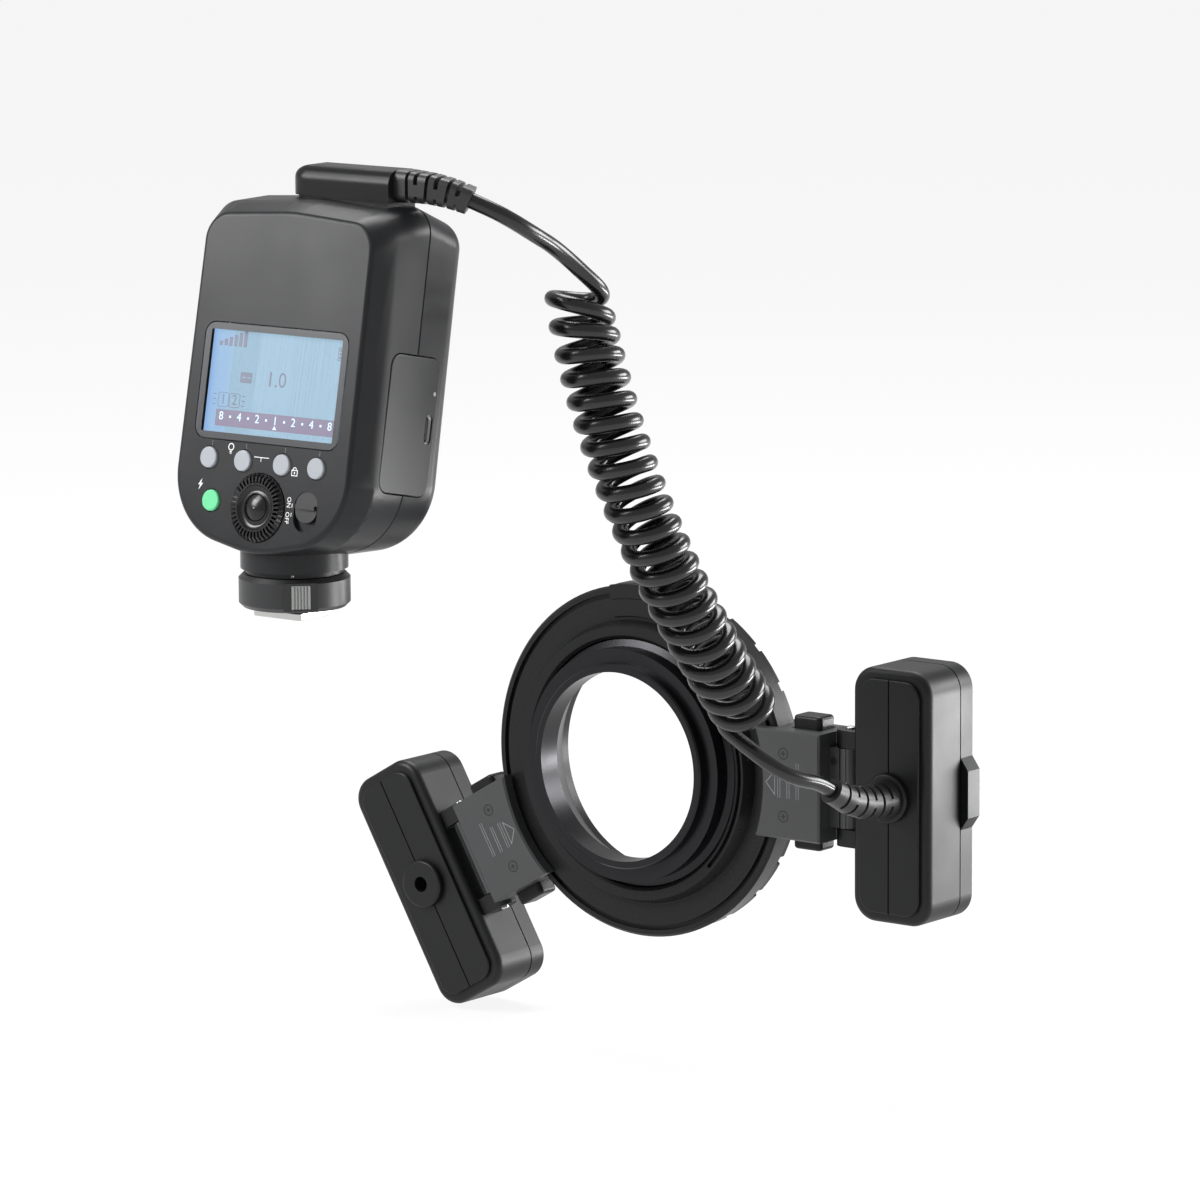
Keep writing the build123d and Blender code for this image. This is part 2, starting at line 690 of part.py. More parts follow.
with BuildPart() as foot_neck:
    with BuildSketch(Plane.XY.offset(step_bottom + neck_step)):
        Circle(neck_radius)
    extrude(amount=neck_top - step_bottom - neck_step)
    with BuildSketch(Plane.XY.offset(step_bottom)):
        Circle(neck_step_radius)
    extrude(amount=neck_step)
    with BuildSketch(Plane.XY.offset(collar_bottom)):
        Circle(post_foot_radius)
    extrude(amount=step_bottom - collar_bottom)
    with BuildSketch(Plane.XY.offset(shoe_thick)):
        Rectangle(rail_gap, shoe_length - 1.6)
    extrude(amount=rail_room)
    with BuildSketch(Plane.XY.offset(shoe_thick)):
        with Locations((0, lock_pin_y)):
            Circle(lock_pin_radius + seat)
    extrude(amount=lock_pin_up + 2.0 - shoe_thick, mode=Mode.SUBTRACT)
    add(contact_pins.part, mode=Mode.SUBTRACT)
    add(foot_screws.part, mode=Mode.SUBTRACT)
save(foot_neck.part, "foot_neck")

grip_plane = Plane(
    origin=(0, 0, collar_bottom + collar_height / 2),
    x_dir=(-sin(radians(grip_angle)), cos(radians(grip_angle)), 0),
    z_dir=(cos(radians(grip_angle)), sin(radians(grip_angle)), 0),
)
grip_face = collar_radius + grip_proud
grip_height = collar_height - 2 * collar_chamfer + 1.0
insert_height = grip_height - 1.4
with BuildPart() as lock_collar:
    with BuildSketch(Plane.XY.offset(collar_bottom)):
        Circle(collar_radius)
    extrude(amount=collar_height)
    chamfer(lock_collar.edges().filter_by(GeomType.CIRCLE), collar_chamfer)
    with BuildSketch(grip_plane.offset(post_foot_radius + 2)):
        Rectangle(grip_width, grip_height)
    extrude(amount=grip_face - post_foot_radius - 2)
    with BuildSketch(grip_plane.offset(grip_face)):
        Rectangle(insert_width + 2 * seat, insert_height + 2 * seat)
    extrude(amount=-insert_deep, mode=Mode.SUBTRACT)
    with BuildSketch(Plane.XY.offset(collar_bottom)):
        Circle(post_foot_radius + running)
    extrude(amount=collar_height, mode=Mode.SUBTRACT)
save(lock_collar.part, "lock_collar")

with BuildPart() as collar_grip:
    with BuildSketch(grip_plane.offset(grip_face - insert_deep)):
        Rectangle(insert_width, insert_height)
    extrude(amount=insert_deep + insert_proud)
    with BuildSketch(grip_plane.offset(grip_face + insert_proud)):
        with GridLocations(insert_width / insert_ribs, 0, insert_ribs - 1, 1):
            Rectangle(insert_width / insert_ribs / 2, collar_height)
    extrude(amount=-insert_rib_deep, mode=Mode.SUBTRACT)
save(collar_grip.part, "collar_grip")

# Cable block on top, over its recessed base
with BuildPart() as cable_block_base:
    with BuildSketch(Plane.XY.offset(block_seat)):
        add(block_outline(block_base_inset))
    extrude(amount=block_base - block_seat)
save(cable_block_base.part, "cable_block_base")

with BuildPart() as cable_block:
    with BuildSketch(Plane.XY.offset(block_base)):
        add(block_outline(0))
    extrude(amount=block_top - block_base)
    fillet(cable_block.faces().sort_by(Axis.Z)[-1].edges().sort_by(Axis.X)[:-1], block_round)
    with BuildSketch(Plane.XZ.offset(-block_y)):
        with BuildLine():
            Polyline(
                (block_left + block_end_round, block_top),
                (block_right + block_round, block_top),
                (block_right + block_round, block_base - block_round),
                (block_left, block_base - block_round),
                (block_left, block_top - block_end_round),
            )
            CenterArc(
                (block_left + block_end_round, block_top - block_end_round), block_end_round, 90, 90
            )
        make_face()
    extrude(amount=block_depth, both=True, mode=Mode.INTERSECT)
save(cable_block.part, "cable_block")


# Strain reliefs: a tapered boot cut by slots, following a gentle bend
def relief_planes(start, steps):
    """Planes square to the boot after each step of (length, turn about X, Y and Z)."""
    planes = [start]
    for length, *turn in steps:
        half_turn = tuple(angle / 2 for angle in turn)
        halfway = planes[-1].rotated(half_turn)
        halfway.origin = planes[-1].origin + halfway.z_dir * length
        planes.append(halfway.rotated(half_turn))
    return planes


upper_start = Plane(origin=(block_right, block_y, upper_relief_z), x_dir=(0, 1, 0), z_dir=(1, 0, 0))
upper_planes = relief_planes(upper_start, upper_relief_steps)
upper_sizes = [
    upper_relief_width - (upper_relief_width - upper_relief_tip) * index / (len(upper_planes) - 1)
    for index in range(len(upper_planes))
]
relief_core = cord_diameter / 2 + relief_core_extra
with BuildPart() as upper_strain_relief:
    for plane, size in zip(upper_planes, upper_sizes):
        with BuildSketch(plane):
            RectangleRounded(size, size, 0.26 * size)
    loft(ruled=True)
    for plane in upper_planes[1:-1]:
        with BuildSketch(plane.offset(-relief_slot / 2)):
            Circle(upper_relief_width)
            Circle(relief_core, mode=Mode.SUBTRACT)
        extrude(amount=relief_slot, mode=Mode.SUBTRACT)
    for plane, size, step in zip(upper_planes[1:-1], upper_sizes[1:-1], upper_relief_steps[1:]):
        with BuildSketch(plane.offset(step[0] / 2 - relief_top_notch / 2)):
            with Locations((0, size / 2)):
                Rectangle(2 * upper_relief_width, 2 * relief_top_notch_deep)
        extrude(amount=relief_top_notch, mode=Mode.SUBTRACT)
        with BuildSketch(plane.offset(step[0] / 2 - relief_low_notch / 2)):
            with Locations((0, -size / 2)):
                Rectangle(2 * upper_relief_width, 2 * relief_low_notch_deep)
        extrude(amount=relief_low_notch, mode=Mode.SUBTRACT)
save(upper_strain_relief.part, "upper_strain_relief")

# Lower strain relief, out of the boss on the right head's back
boss_face = head_rear - panel_rise - boss_height
lower_start = Plane(origin=(head_x, boss_face, ring_z), x_dir=(1, 0, 0), z_dir=(0, -1, 0))
lower_planes = relief_planes(lower_start, lower_relief_steps)
lower_sizes = [
    lower_relief_root - (lower_relief_root - lower_relief_tip) * index / (len(lower_planes) - 1)
    for index in range(len(lower_planes))
]
with BuildPart() as lower_strain_relief:
    for plane, size in zip(lower_planes, lower_sizes):
        with BuildSketch(plane):
            Circle(size)
    loft(ruled=True)
    for plane in lower_planes[1:-1]:
        with BuildSketch(plane.offset(-relief_slot / 2)):
            Circle(2 * lower_relief_root)
            Circle(relief_core, mode=Mode.SUBTRACT)
            Rectangle(4 * lower_relief_root, relief_bridge, mode=Mode.SUBTRACT)
        extrude(amount=relief_slot, mode=Mode.SUBTRACT)
    for plane, step in zip(lower_planes[1:-1], lower_relief_steps[1:]):
        with BuildSketch(plane.offset(step[0] / 2 - relief_slot / 2)):
            Circle(2 * lower_relief_root)
            Circle(relief_core, mode=Mode.SUBTRACT)
            Rectangle(relief_bridge, 4 * lower_relief_root, mode=Mode.SUBTRACT)
        extrude(amount=relief_slot, mode=Mode.SUBTRACT)
save(lower_strain_relief.part, "lower_strain_relief")


# Curly cord: the helix winds down a bent axis, left-handed seen from above
def coil_axis_point(share):
    """Point on the cubic curve that the coil hangs along."""
    points = [Vector(*point) for point in coil_axis]
    left = 1 - share
    return (
        points[0] * left**3
        + points[1] * (3 * left**2 * share)
        + points[2] * (3 * left * share**2)
        + points[3] * share**3
    )


def coil_share(turn):
    """Share of the axis passed after so many turns: steep at the lead, then one even pitch."""
    steep = coil_steepness * max(coil_steep_until - turn, 0) ** 2
    return turn / coil_last_turn - steep / coil_axis_length


def coil_point(turn):
    """Point of the wire's centreline after so many turns."""
    share = coil_share(turn)
    step = 1e-3
    along = (coil_axis_point(share + step) - coil_axis_point(share - step)).normalized()
    sideways = Vector(*screen_right)
    sideways = (sideways - along * sideways.dot(along)).normalized()
    away = sideways.cross(along)
    tilt = coil_tilt * max(1 - turn / coil_tilt_until, 0)
    sideways = (sideways + along * tilt).normalized()
    angle = 2 * pi * turn
    return coil_axis_point(share) + (sideways * cos(angle) + away * sin(angle)) * coil_radius


def coil_direction(turn):
    """Way the wire runs after so many turns."""
    step = 1e-4
    return (coil_point(turn + step) - coil_point(turn - step)).normalized()


coil_axis_length = sum(
    (coil_axis_point((index + 1) / 100) - coil_axis_point(index / 100)).length for index in range(100)
)
coil_arcs = ceil(4 * (coil_last_turn - coil_first_turn))
coil_stops = [
    coil_first_turn + (coil_last_turn - coil_first_turn) * index / coil_arcs
    for index in range(coil_arcs + 1)
]
coil_start = coil_point(coil_stops[0])
coil_start_way = coil_direction(coil_stops[0])
coil_end = coil_point(coil_stops[-1])
coil_end_way = coil_direction(coil_stops[-1])
coil_entry = coil_start - coil_start_way * cord_diameter
coil_exit = coil_end + coil_end_way * cord_diameter
with BuildPart() as cord_coil:
    with BuildLine() as coil_path:
        Line(coil_entry, coil_start)
        for here, there in zip(coil_stops, coil_stops[1:]):
            first, last = coil_point(here), coil_point(there)
            out_way, in_way = coil_direction(here), coil_direction(there)
            span = last - first
            both = out_way + in_way
            bend = 2 * (1 - out_way.dot(in_way))
            reach = (-span.dot(both) + sqrt(span.dot(both) ** 2 + bend * span.dot(span))) / bend
            first_knee = first + out_way * reach
            last_knee = last - in_way * reach
            middle = (first_knee + last_knee) * 0.5
            TangentArc(first, middle, tangent=out_way)
            TangentArc(middle, last, tangent=last_knee - first_knee)
        Line(coil_end, coil_exit)
    with BuildSketch(Plane(origin=coil_entry, z_dir=coil_start_way)):
        Circle(cord_diameter / 2)
    sweep(path=coil_path.wires()[0])
save(cord_coil.part, "cord_coil")

sample_count = 1400
samples = [
    coil_point(coil_first_turn + (coil_last_turn - coil_first_turn) * index / sample_count)
    for index in range(sample_count + 1)
]
half_turn = sample_count // (2 * ceil(coil_last_turn - coil_first_turn))
least_gap = min(
    (samples[i] - samples[j]).length
    for i in range(0, sample_count, 5)
    for j in range(i + half_turn, min(i + 5 * half_turn, sample_count), 2)
)
print("coil length", round(coil_path.wires()[0].length, 1))
print("coil least gap to itself", round(least_gap - cord_diameter, 2))


# Free stretches of the cord: straight runs joined by the largest tangent arcs they allow
def cord_stretch(name, points):
    route = [Vector(*point) for point in points]
    radii = []
    for before, corner, after in zip(route, route[1:], route[2:]):
        turn = (corner - before).get_angle(after - corner)
        shorter = min((corner - before).length, (after - corner).length)
        radii.append(0.45 * shorter / tan(radians(turn) / 2))
    print(name, "radii", [round(radius, 1) for radius in radii])
    with BuildPart() as stretch:
        with BuildLine() as path:
            FilletPolyline(*route, radius=radii)
        with BuildSketch(Plane(origin=route[0], z_dir=route[1] - route[0])):
            Circle(cord_diameter / 2)
        sweep(path=path.wires()[0])
    section = pi * cord_diameter**2 / 4
    length = path.wires()[0].length
    print(name, "length", round(length, 1), "volume over section", round(stretch.part.volume / section, 1))
    return stretch.part


upper_tip = upper_planes[-1]
lower_tip = lower_planes[-1]
cord_upper_route = [
    tuple(upper_tip.origin),
    tuple(upper_tip.origin + upper_tip.z_dir * upper_tip_run),
    *upper_lead_middles,
    tuple(coil_entry - coil_start_way * upper_coil_run),
    tuple(coil_entry),
]
cord_lower_route = [
    tuple(coil_exit),
    tuple(coil_exit + coil_end_way * lower_coil_run),
    *lower_lead_middles,
    tuple(lower_tip.origin + lower_tip.z_dir * lower_tip_run),
    tuple(lower_tip.origin),
]
save(cord_stretch("cord_upper", cord_upper_route), "cord_upper")
save(cord_stretch("cord_lower", cord_lower_route), "cord_lower")

# Lens ring: a rear housing, open at the front, and the notched front rim that closes it
rim_boss = slider_outer + 0.6
cavity_radius = slider_outer + release_travel + sliding


def sector(half_angle, reach):
    """Corners of a wedge from the lens axis, centred on the top of the ring."""
    side = reach * tan(radians(half_angle))
    return [(0, 0), (side, reach), (-side, reach)]


with BuildPart() as ring_rear_housing:
    with BuildSketch(ring_profile_plane):
        with BuildLine():
            Polyline(
                (lip_bore, lip_y + 0.8),
                (lip_inner, lip_y),
                (lip_outer, lip_y),
                (lip_foot, annulus_y),
                (rim_radius - 0.8, annulus_y),
                (rim_radius, annulus_y + 0.8),
                (rim_front_radius, rim_plate_y),
                (rim_boss + seat, rim_plate_y),
                (rim_boss + seat, cavity_y + cavity_deep),
                (cavity_radius, cavity_y + cavity_deep),
                (cavity_radius, cavity_y),
                (lip_bore, cavity_y),
                close=True,
            )
        make_face()
    revolve(axis=ring_axis)
    with BuildSketch(behind(annulus_y)):
        Circle(groove_outer)
        Circle(groove_inner, mode=Mode.SUBTRACT)
        Polygon(*sector(cover_half_angle + 1, rim_radius), align=None, mode=Mode.SUBTRACT)
    extrude(amount=-groove_deep, mode=Mode.SUBTRACT)
    with BuildSketch(behind(lip_y)):
        with BuildLine() as slot_line:
            CenterArc((0, 0), slot_radius, slot_from, slot_to - slot_from)
        SlotArc(slot_line.wires()[0], slot_width)
    extrude(amount=-slot_deep, mode=Mode.SUBTRACT)
    with BuildSketch(behind(annulus_y)):
        Circle(cover_outer + 1)
        Circle(cover_inner - seat, mode=Mode.SUBTRACT)
        Polygon(*sector(cover_half_angle + 0.15, 2 * rim_radius), align=None, mode=Mode.INTERSECT)
    extrude(amount=-(cover_y + cover_thick - annulus_y), mode=Mode.SUBTRACT)
    with BuildSketch(behind(cavity_y)):
        with Locations((0, rim_boss + pad_outer / 2)):
            Rectangle(2 * (pad_half + sliding), pad_outer)
    extrude(amount=-(rim_plate_y - cavity_y), mode=Mode.SUBTRACT)
save(ring_rear_housing.part, "ring_rear_housing")

with BuildPart() as ring_front_rim:
    with BuildSketch(ring_profile_plane):
        with BuildLine():
            Polyline(
                (front_bore, stop_y),
                (lip_bore, stop_y),
                (lip_bore, cavity_y + cavity_deep + seat),
                (rim_boss, cavity_y + cavity_deep + seat),
                (rim_boss, rim_plate_y),
                (rim_front_radius, rim_plate_y),
                (rim_front_radius, ring_front_y - 0.6),
                (rim_front_radius - 0.6, ring_front_y),
                (front_bore + 1.2, ring_front_y),
                (front_bore, ring_front_y - 1.2),
                close=True,
            )
        make_face()
    revolve(axis=ring_axis)
    with BuildSketch(behind(ring_front_y)):
        with PolarLocations(rim_front_radius, notch_count):
            Rectangle(2 * notch_deep, notch_width)
    extrude(amount=ring_front_y - rim_plate_y, mode=Mode.SUBTRACT)
save(ring_front_rim.part, "ring_front_rim")

with BuildPart() as ring_top_cover:
    with BuildSketch(behind(cover_y)):
        Circle(cover_outer)
        Circle(cover_inner, mode=Mode.SUBTRACT)
        Polygon(*sector(cover_half_angle, 2 * rim_radius), align=None, mode=Mode.INTERSECT)
    extrude(amount=-cover_thick)
    chamfer(ring_top_cover.faces().sort_by(Axis.Y)[0].edges(), 0.3)
    with BuildSketch(behind(cover_y)):
        Circle(rim_radius - cover_line_from_rim + cover_line / 2)
        Circle(rim_radius - cover_line_from_rim - cover_line / 2, mode=Mode.SUBTRACT)
    extrude(amount=-cover_line, mode=Mode.SUBTRACT)
save(ring_top_cover.part, "ring_top_cover")

# Release: a pad on top of the ring pushes a flat slider, whose hook leaves the adapter's groove
slider_y = cavity_y + (cavity_deep - slider_thick) / 2
with BuildPart() as release_button:
    with BuildSketch(behind(slider_y)):
        Circle(slider_outer)
        Circle(slider_inner, mode=Mode.SUBTRACT)
        with Locations((0, (slider_inner + pad_inner) / 2 + 1)):
            Rectangle(2 * web_half, pad_inner - slider_inner)
    extrude(amount=-slider_thick)
    with BuildSketch(behind(slider_y)):
        Circle((slider_inner + slider_outer) / 2)
        Circle(hook_inner, mode=Mode.SUBTRACT)
        Polygon(
            *[(x, -y) for x, y in sector(hook_half_angle, slider_outer)],
            align=None,
            mode=Mode.INTERSECT,
        )
    extrude(amount=-slider_thick)
    with BuildSketch(behind(slider_y)):
        Circle(pad_outer)
        Circle(pad_inner, mode=Mode.SUBTRACT)
        with Locations((0, pad_outer)):
            Rectangle(2 * pad_half, pad_outer, mode=Mode.INTERSECT)
    extrude(amount=-pad_deep)
save(release_button.part, "release_button")

with BuildPart() as adapter_ring:
    with BuildSketch(ring_profile_plane):
        with BuildLine():
            flange_start = adapter_start + thread_length
            Polyline(
                (adapter_bore, adapter_start),
                (thread_radius - 0.5, adapter_start),
                (thread_radius, adapter_start + 0.5),
                (thread_radius, flange_start),
                (flange_radius, flange_start),
                (flange_radius, flange_start + flange_length),
                (adapter_radius, flange_start + flange_length + 0.8),
                (adapter_radius, catch_start),
                (catch_radius, catch_start),
                (catch_radius, catch_end),
                (adapter_radius, catch_end),
                (adapter_radius, stop_y),
                (adapter_mouth, stop_y),
                (adapter_bore, flange_start + flange_length),
                close=True,
            )
        make_face()
    revolve(axis=ring_axis)
save(adapter_ring.part, "adapter_ring")


# Flash heads and their carriages: each piece is made on the right and mirrored for the left
def on_left(piece):
    """Mirror a right-hand piece and turn it down round the ring."""
    mirrored = mirror(piece, about=Plane.YZ)
    turned = mirrored.rotate(ring_axis, -left_turn)
    with BuildPart() as other:
        add(turned)
    return other.part


def save_both(piece, name):
    save(piece, f"right_{name}")
    save(on_left(piece), f"left_{name}")


block_rear = carriage_rear + cover_plate_thick
block_front = jaw_y + jaw_thick
block_inner = rim_radius + rim_clearance
clip_end = carriage_half - clip_deep
hinge_start = hinge_x - carriage_outer
with BuildPart() as cover_screws:
    with BuildSketch(behind(carriage_rear + 0.1)):
        with Locations((cover_screw_x, cover_screw_z), (cover_screw_x, -cover_screw_z)):
            Circle(small_head_radius)
    extrude(amount=-small_head_thick)
    with BuildSketch(behind(carriage_rear + 0.1)):
        with Locations((cover_screw_x, cover_screw_z), (cover_screw_x, -cover_screw_z)):
            Circle(small_screw_radius)
    extrude(amount=-cover_screw_length)
    with BuildSketch(behind(hinge_y - knuckle_radius)):
        with Locations((knuckle_screw_x, knuckle_screw_z)):
            Circle(knuckle_head_radius)
    extrude(amount=-small_head_thick)
    with BuildSketch(behind(hinge_y - knuckle_radius)):
        with Locations((knuckle_screw_x, knuckle_screw_z)):
            Circle(small_screw_radius)
    extrude(amount=-small_head_thick - 3)
save_both(cover_screws.part, "carriage_screws")

with BuildPart() as carriage_cover:
    with BuildSketch(behind(carriage_rear)):
        with Locations((carriage_outer / 2, 0)):
            Rectangle(carriage_outer, 2 * carriage_half)
        Circle(carriage_inner + 1.5, mode=Mode.SUBTRACT)
    extrude(amount=-cover_plate_thick)
    chamfer(carriage_cover.faces().sort_by(Axis.Y)[0].edges(), 0.6)
    with BuildSketch(behind(block_rear)):
        Circle(groove_outer - sliding)
        Circle(groove_inner + sliding, mode=Mode.SUBTRACT)
        Polygon(
            *[(y, x) for x, y in sector(tongue_half_angle, groove_outer + groove_width)],
            align=None,
            mode=Mode.INTERSECT,
        )
    extrude(amount=-tongue_long)
    add(cover_screws.part, mode=Mode.SUBTRACT)
save_both(carriage_cover.part, "carriage_cover")

with BuildPart() as carriage:
    with BuildSketch(behind(block_rear)):
        with Locations((carriage_outer / 2 + block_inner / 2 - 2, 0)):
            Rectangle(carriage_outer - block_inner + 4, 2 * carriage_half)
        Circle(block_inner, mode=Mode.SUBTRACT)
    extrude(amount=-(jaw_y - block_rear))
    with BuildSketch(behind(jaw_y)):
        with Locations(((carriage_inner + carriage_outer) / 2, 0)):
            Rectangle(carriage_outer - carriage_inner, 2 * carriage_half)
    extrude(amount=-jaw_thick)
    outer_edges = carriage.faces().sort_by(Axis.Y)[-1].edges()
    chamfer(outer_edges, carriage_edge)
    knuckle_plane = Plane(origin=(hinge_x, hinge_y, ring_z - knuckle_half), z_dir=(0, 0, 1))
    with BuildSketch(knuckle_plane):
        Circle(knuckle_radius)
        with Locations((-hinge_start / 2 - 1, 0)):
            Rectangle(hinge_start + 2, 2 * knuckle_radius)
    extrude(amount=2 * knuckle_half)
    with BuildSketch(knuckle_plane):
        for angle in rib_angles:
            with PolarLocations(knuckle_radius, 1, start_angle=angle + 90):
                Rectangle(rib_groove, rib_groove)
    extrude(amount=2 * knuckle_half, mode=Mode.SUBTRACT)
    with BuildSketch(knuckle_plane):
        Circle(hinge_pin_radius + running)
    extrude(amount=2 * knuckle_half, mode=Mode.SUBTRACT)
    for side in (1, -1):
        with BuildSketch(Plane.XY.offset(ring_z + side * (carriage_half + 1))):
            with Locations((clip_x, clip_y)):
                Rectangle(clip_width + 2 * sliding, clip_depth + 2 * sliding)
        extrude(amount=-side * (1 + clip_deep + clip_travel + seat), mode=Mode.SUBTRACT)
        with BuildSketch(Plane.XY.offset(ring_z + side * (clip_end + seat))):
            with Locations((clip_x + (clip_flange_right - clip_flange_left) / 2, clip_y)):
                Rectangle(
                    clip_flange_left + clip_flange_right + 2 * sliding, clip_depth + 2 * sliding
                )
        extrude(amount=-side * (clip_flange + clip_travel + 2 * seat), mode=Mode.SUBTRACT)
    add(cover_screws.part, mode=Mode.SUBTRACT)
save_both(carriage.part, "carriage")


def clip_button(side):
    """Clip button on the carriage's top (1) or bottom (-1), with the flange that keeps it in."""
    with BuildPart() as button:
        with BuildSketch(Plane.XY.offset(ring_z + side * (carriage_half + clip_proud))):
            with Locations((clip_x, clip_y)):
                RectangleRounded(clip_width, clip_depth, 1.6)
        extrude(amount=-side * (clip_proud + clip_deep))
        top_face = button.faces().sort_by(Axis.Z)[-1 if side > 0 else 0]
        fillet(top_face.edges(), 1.2)
        with BuildSketch(Plane.XY.offset(ring_z + side * clip_end)):
            with Locations((clip_x + (clip_flange_right - clip_flange_left) / 2, clip_y)):
                Rectangle(clip_flange_left + clip_flange_right, clip_depth)
        extrude(amount=-side * clip_flange)
    return button.part


save_both(clip_button(1), "clip_button_upper")
save_both(clip_button(-1), "clip_button_lower")

pin_half = knuckle_half + sliding + ear_thick + hinge_pin_proud
with BuildPart() as hinge_pin:
    with BuildSketch(Plane(origin=(hinge_x, hinge_y, ring_z - pin_half), z_dir=(0, 0, 1))):
        Circle(hinge_pin_radius)
    extrude(amount=2 * pin_half)
    fillet(hinge_pin.edges().filter_by(GeomType.CIRCLE), 0.5)
save_both(hinge_pin.part, "hinge_pin")

# Head shell: a deep box with a raised panel on its back, open to the front
shell_depth = head_joint - head_rear
head_left = head_x - head_half_width
pad_y = head_rear + head_wall
lens_back = head_front - diffuser_pillow - diffuser_thick
reflector_back = lens_back - reflector_deep
with BuildPart() as head_rear_shell:
    with BuildSketch(behind(head_rear)):
        with Locations((head_x, 0)):
            RectangleRounded(2 * head_half_width, 2 * head_half_height, head_corner)
    extrude(amount=-shell_depth)
    fillet(head_rear_shell.faces().sort_by(Axis.Y)[0].edges(), head_edge_round)
    with BuildSketch(behind(head_rear - panel_rise)):
        with Locations((head_x, 0)):
            RectangleRounded(
                2 * (head_half_width - panel_inset), 2 * (head_half_height - panel_inset), panel_corner
            )
    extrude(amount=-panel_rise)
    fillet(head_rear_shell.faces().sort_by(Axis.Y)[0].edges(), 0.5)
    with BuildSketch(behind(head_rear - panel_rise)):
        with Locations((head_x, 0)):
            Rectangle(parting_width, 2 * (head_half_height - panel_inset) + 1)
    extrude(amount=-parting_deep, mode=Mode.SUBTRACT)
    with BuildSketch(behind(boss_face)):
        with Locations((head_x, 0)):
            Circle(boss_radius)
    extrude(amount=-boss_height - parting_deep)
    fillet(head_rear_shell.faces().sort_by(Axis.Y)[0].edges(), 0.8)
    with BuildSketch(behind(head_joint)):
        with Locations((head_x, 0)):
            RectangleRounded(
                2 * (head_half_width - head_wall),
                2 * (head_half_height - head_wall),
                head_corner - head_wall,
            )
    extrude(amount=shell_depth - head_wall, mode=Mode.SUBTRACT)
    with BuildSketch(behind(pad_y)):
        with Locations((head_x, reflector_post_row), (head_x, -reflector_post_row)):
            Rectangle(2 * reflector_throat, reflector_post)
    extrude(amount=-(reflector_back - pad_y))
    with BuildSketch(behind(boss_face)):
        with Locations((head_x, 0)):
            Circle(boss_bore)
    extrude(amount=-(pad_y - boss_face), mode=Mode.SUBTRACT)
    for side in (1, -1):
        ear_start = ring_z + side * (knuckle_half + sliding)
        with BuildSketch(Plane.XY.offset(ear_start)):
            with Locations((hinge_x, hinge_y)):
                Circle(knuckle_radius)
            with Locations(((hinge_x + head_left + 1) / 2, hinge_y)):
                Rectangle(head_left + 1 - hinge_x, 2 * knuckle_radius)
        extrude(amount=side * ear_thick)
    with BuildSketch(Plane.XY.offset(ring_z - pin_half)):
        with Locations((hinge_x, hinge_y)):
            Circle(hinge_pin_radius)
    extrude(amount=2 * pin_half, mode=Mode.SUBTRACT)
save_both(head_rear_shell.part, "head_rear_shell")

window_back = lens_back + diffuser_thick
with BuildPart() as head_front_bezel:
    with BuildSketch(behind(head_joint + joint_gap)):
        with Locations((head_x, 0)):
            RectangleRounded(2 * head_half_width, 2 * head_half_height, head_corner)
    extrude(amount=-(head_front - head_joint - joint_gap))
    with BuildSketch(behind(head_front)):
        with BuildLine():
            lug_x = head_x + head_half_width
            Polyline(
                (lug_x - 1, lug_half),
                (lug_x, lug_half),
                (lug_x + lug_proud, lug_tip_half),
                (lug_x + lug_proud, -lug_tip_half),
                (lug_x, -lug_half),
                (lug_x - 1, -lug_half),
                close=True,
            )
        make_face()
    extrude(amount=head_front - head_joint - joint_gap)
    fillet(head_front_bezel.faces().sort_by(Axis.Y)[-1].edges(), 1.0)
    with BuildSketch(behind(head_joint)):
        with Locations((head_x, 0)):
            RectangleRounded(
                2 * (head_half_width - joint_lip),
                2 * (head_half_height - joint_lip),
                head_corner - joint_lip,
            )
    extrude(amount=-joint_gap)
    with BuildSketch(behind(head_joint)):
        with Locations((head_x, 0)):
            RectangleRounded(
                2 * (head_half_width - head_wall),
                2 * (head_half_height - head_wall),
                head_corner - head_wall,
            )
    extrude(amount=-(window_back - head_joint), mode=Mode.SUBTRACT)
    with BuildSketch(behind(head_front)):
        with Locations((head_x, 0)):
            RectangleRounded(
                2 * (lamp_half_width + seat), 2 * (lamp_half_height + seat), lamp_corner
            )
    extrude(amount=head_front - head_joint, mode=Mode.SUBTRACT)
save_both(head_front_bezel.part, "head_front_bezel")

with BuildPart() as diffuser:
    with BuildSketch(behind(lens_back)):
        with Locations((head_x, 0)):
            Rectangle(2 * (lamp_half_width + diffuser_edge), 2 * (lamp_half_height + diffuser_edge))
    extrude(amount=-diffuser_thick)
    with BuildSketch(behind(window_back)):
        with Locations((head_x, 0)):
            RectangleRounded(2 * lamp_half_width, 2 * lamp_half_height, lamp_corner)
    extrude(amount=-(diffuser_pillow - 0.3))
    with BuildSketch(behind(head_front)):
        with Locations((head_x, 0)):
            with GridLocations(0, 2 * lamp_half_height / diffuser_lines, 1, diffuser_lines - 1):
                Rectangle(2 * lamp_half_width - 3, 0.8)
    extrude(amount=0.3 + diffuser_line_deep, mode=Mode.SUBTRACT)
save_both(diffuser.part, "diffuser")

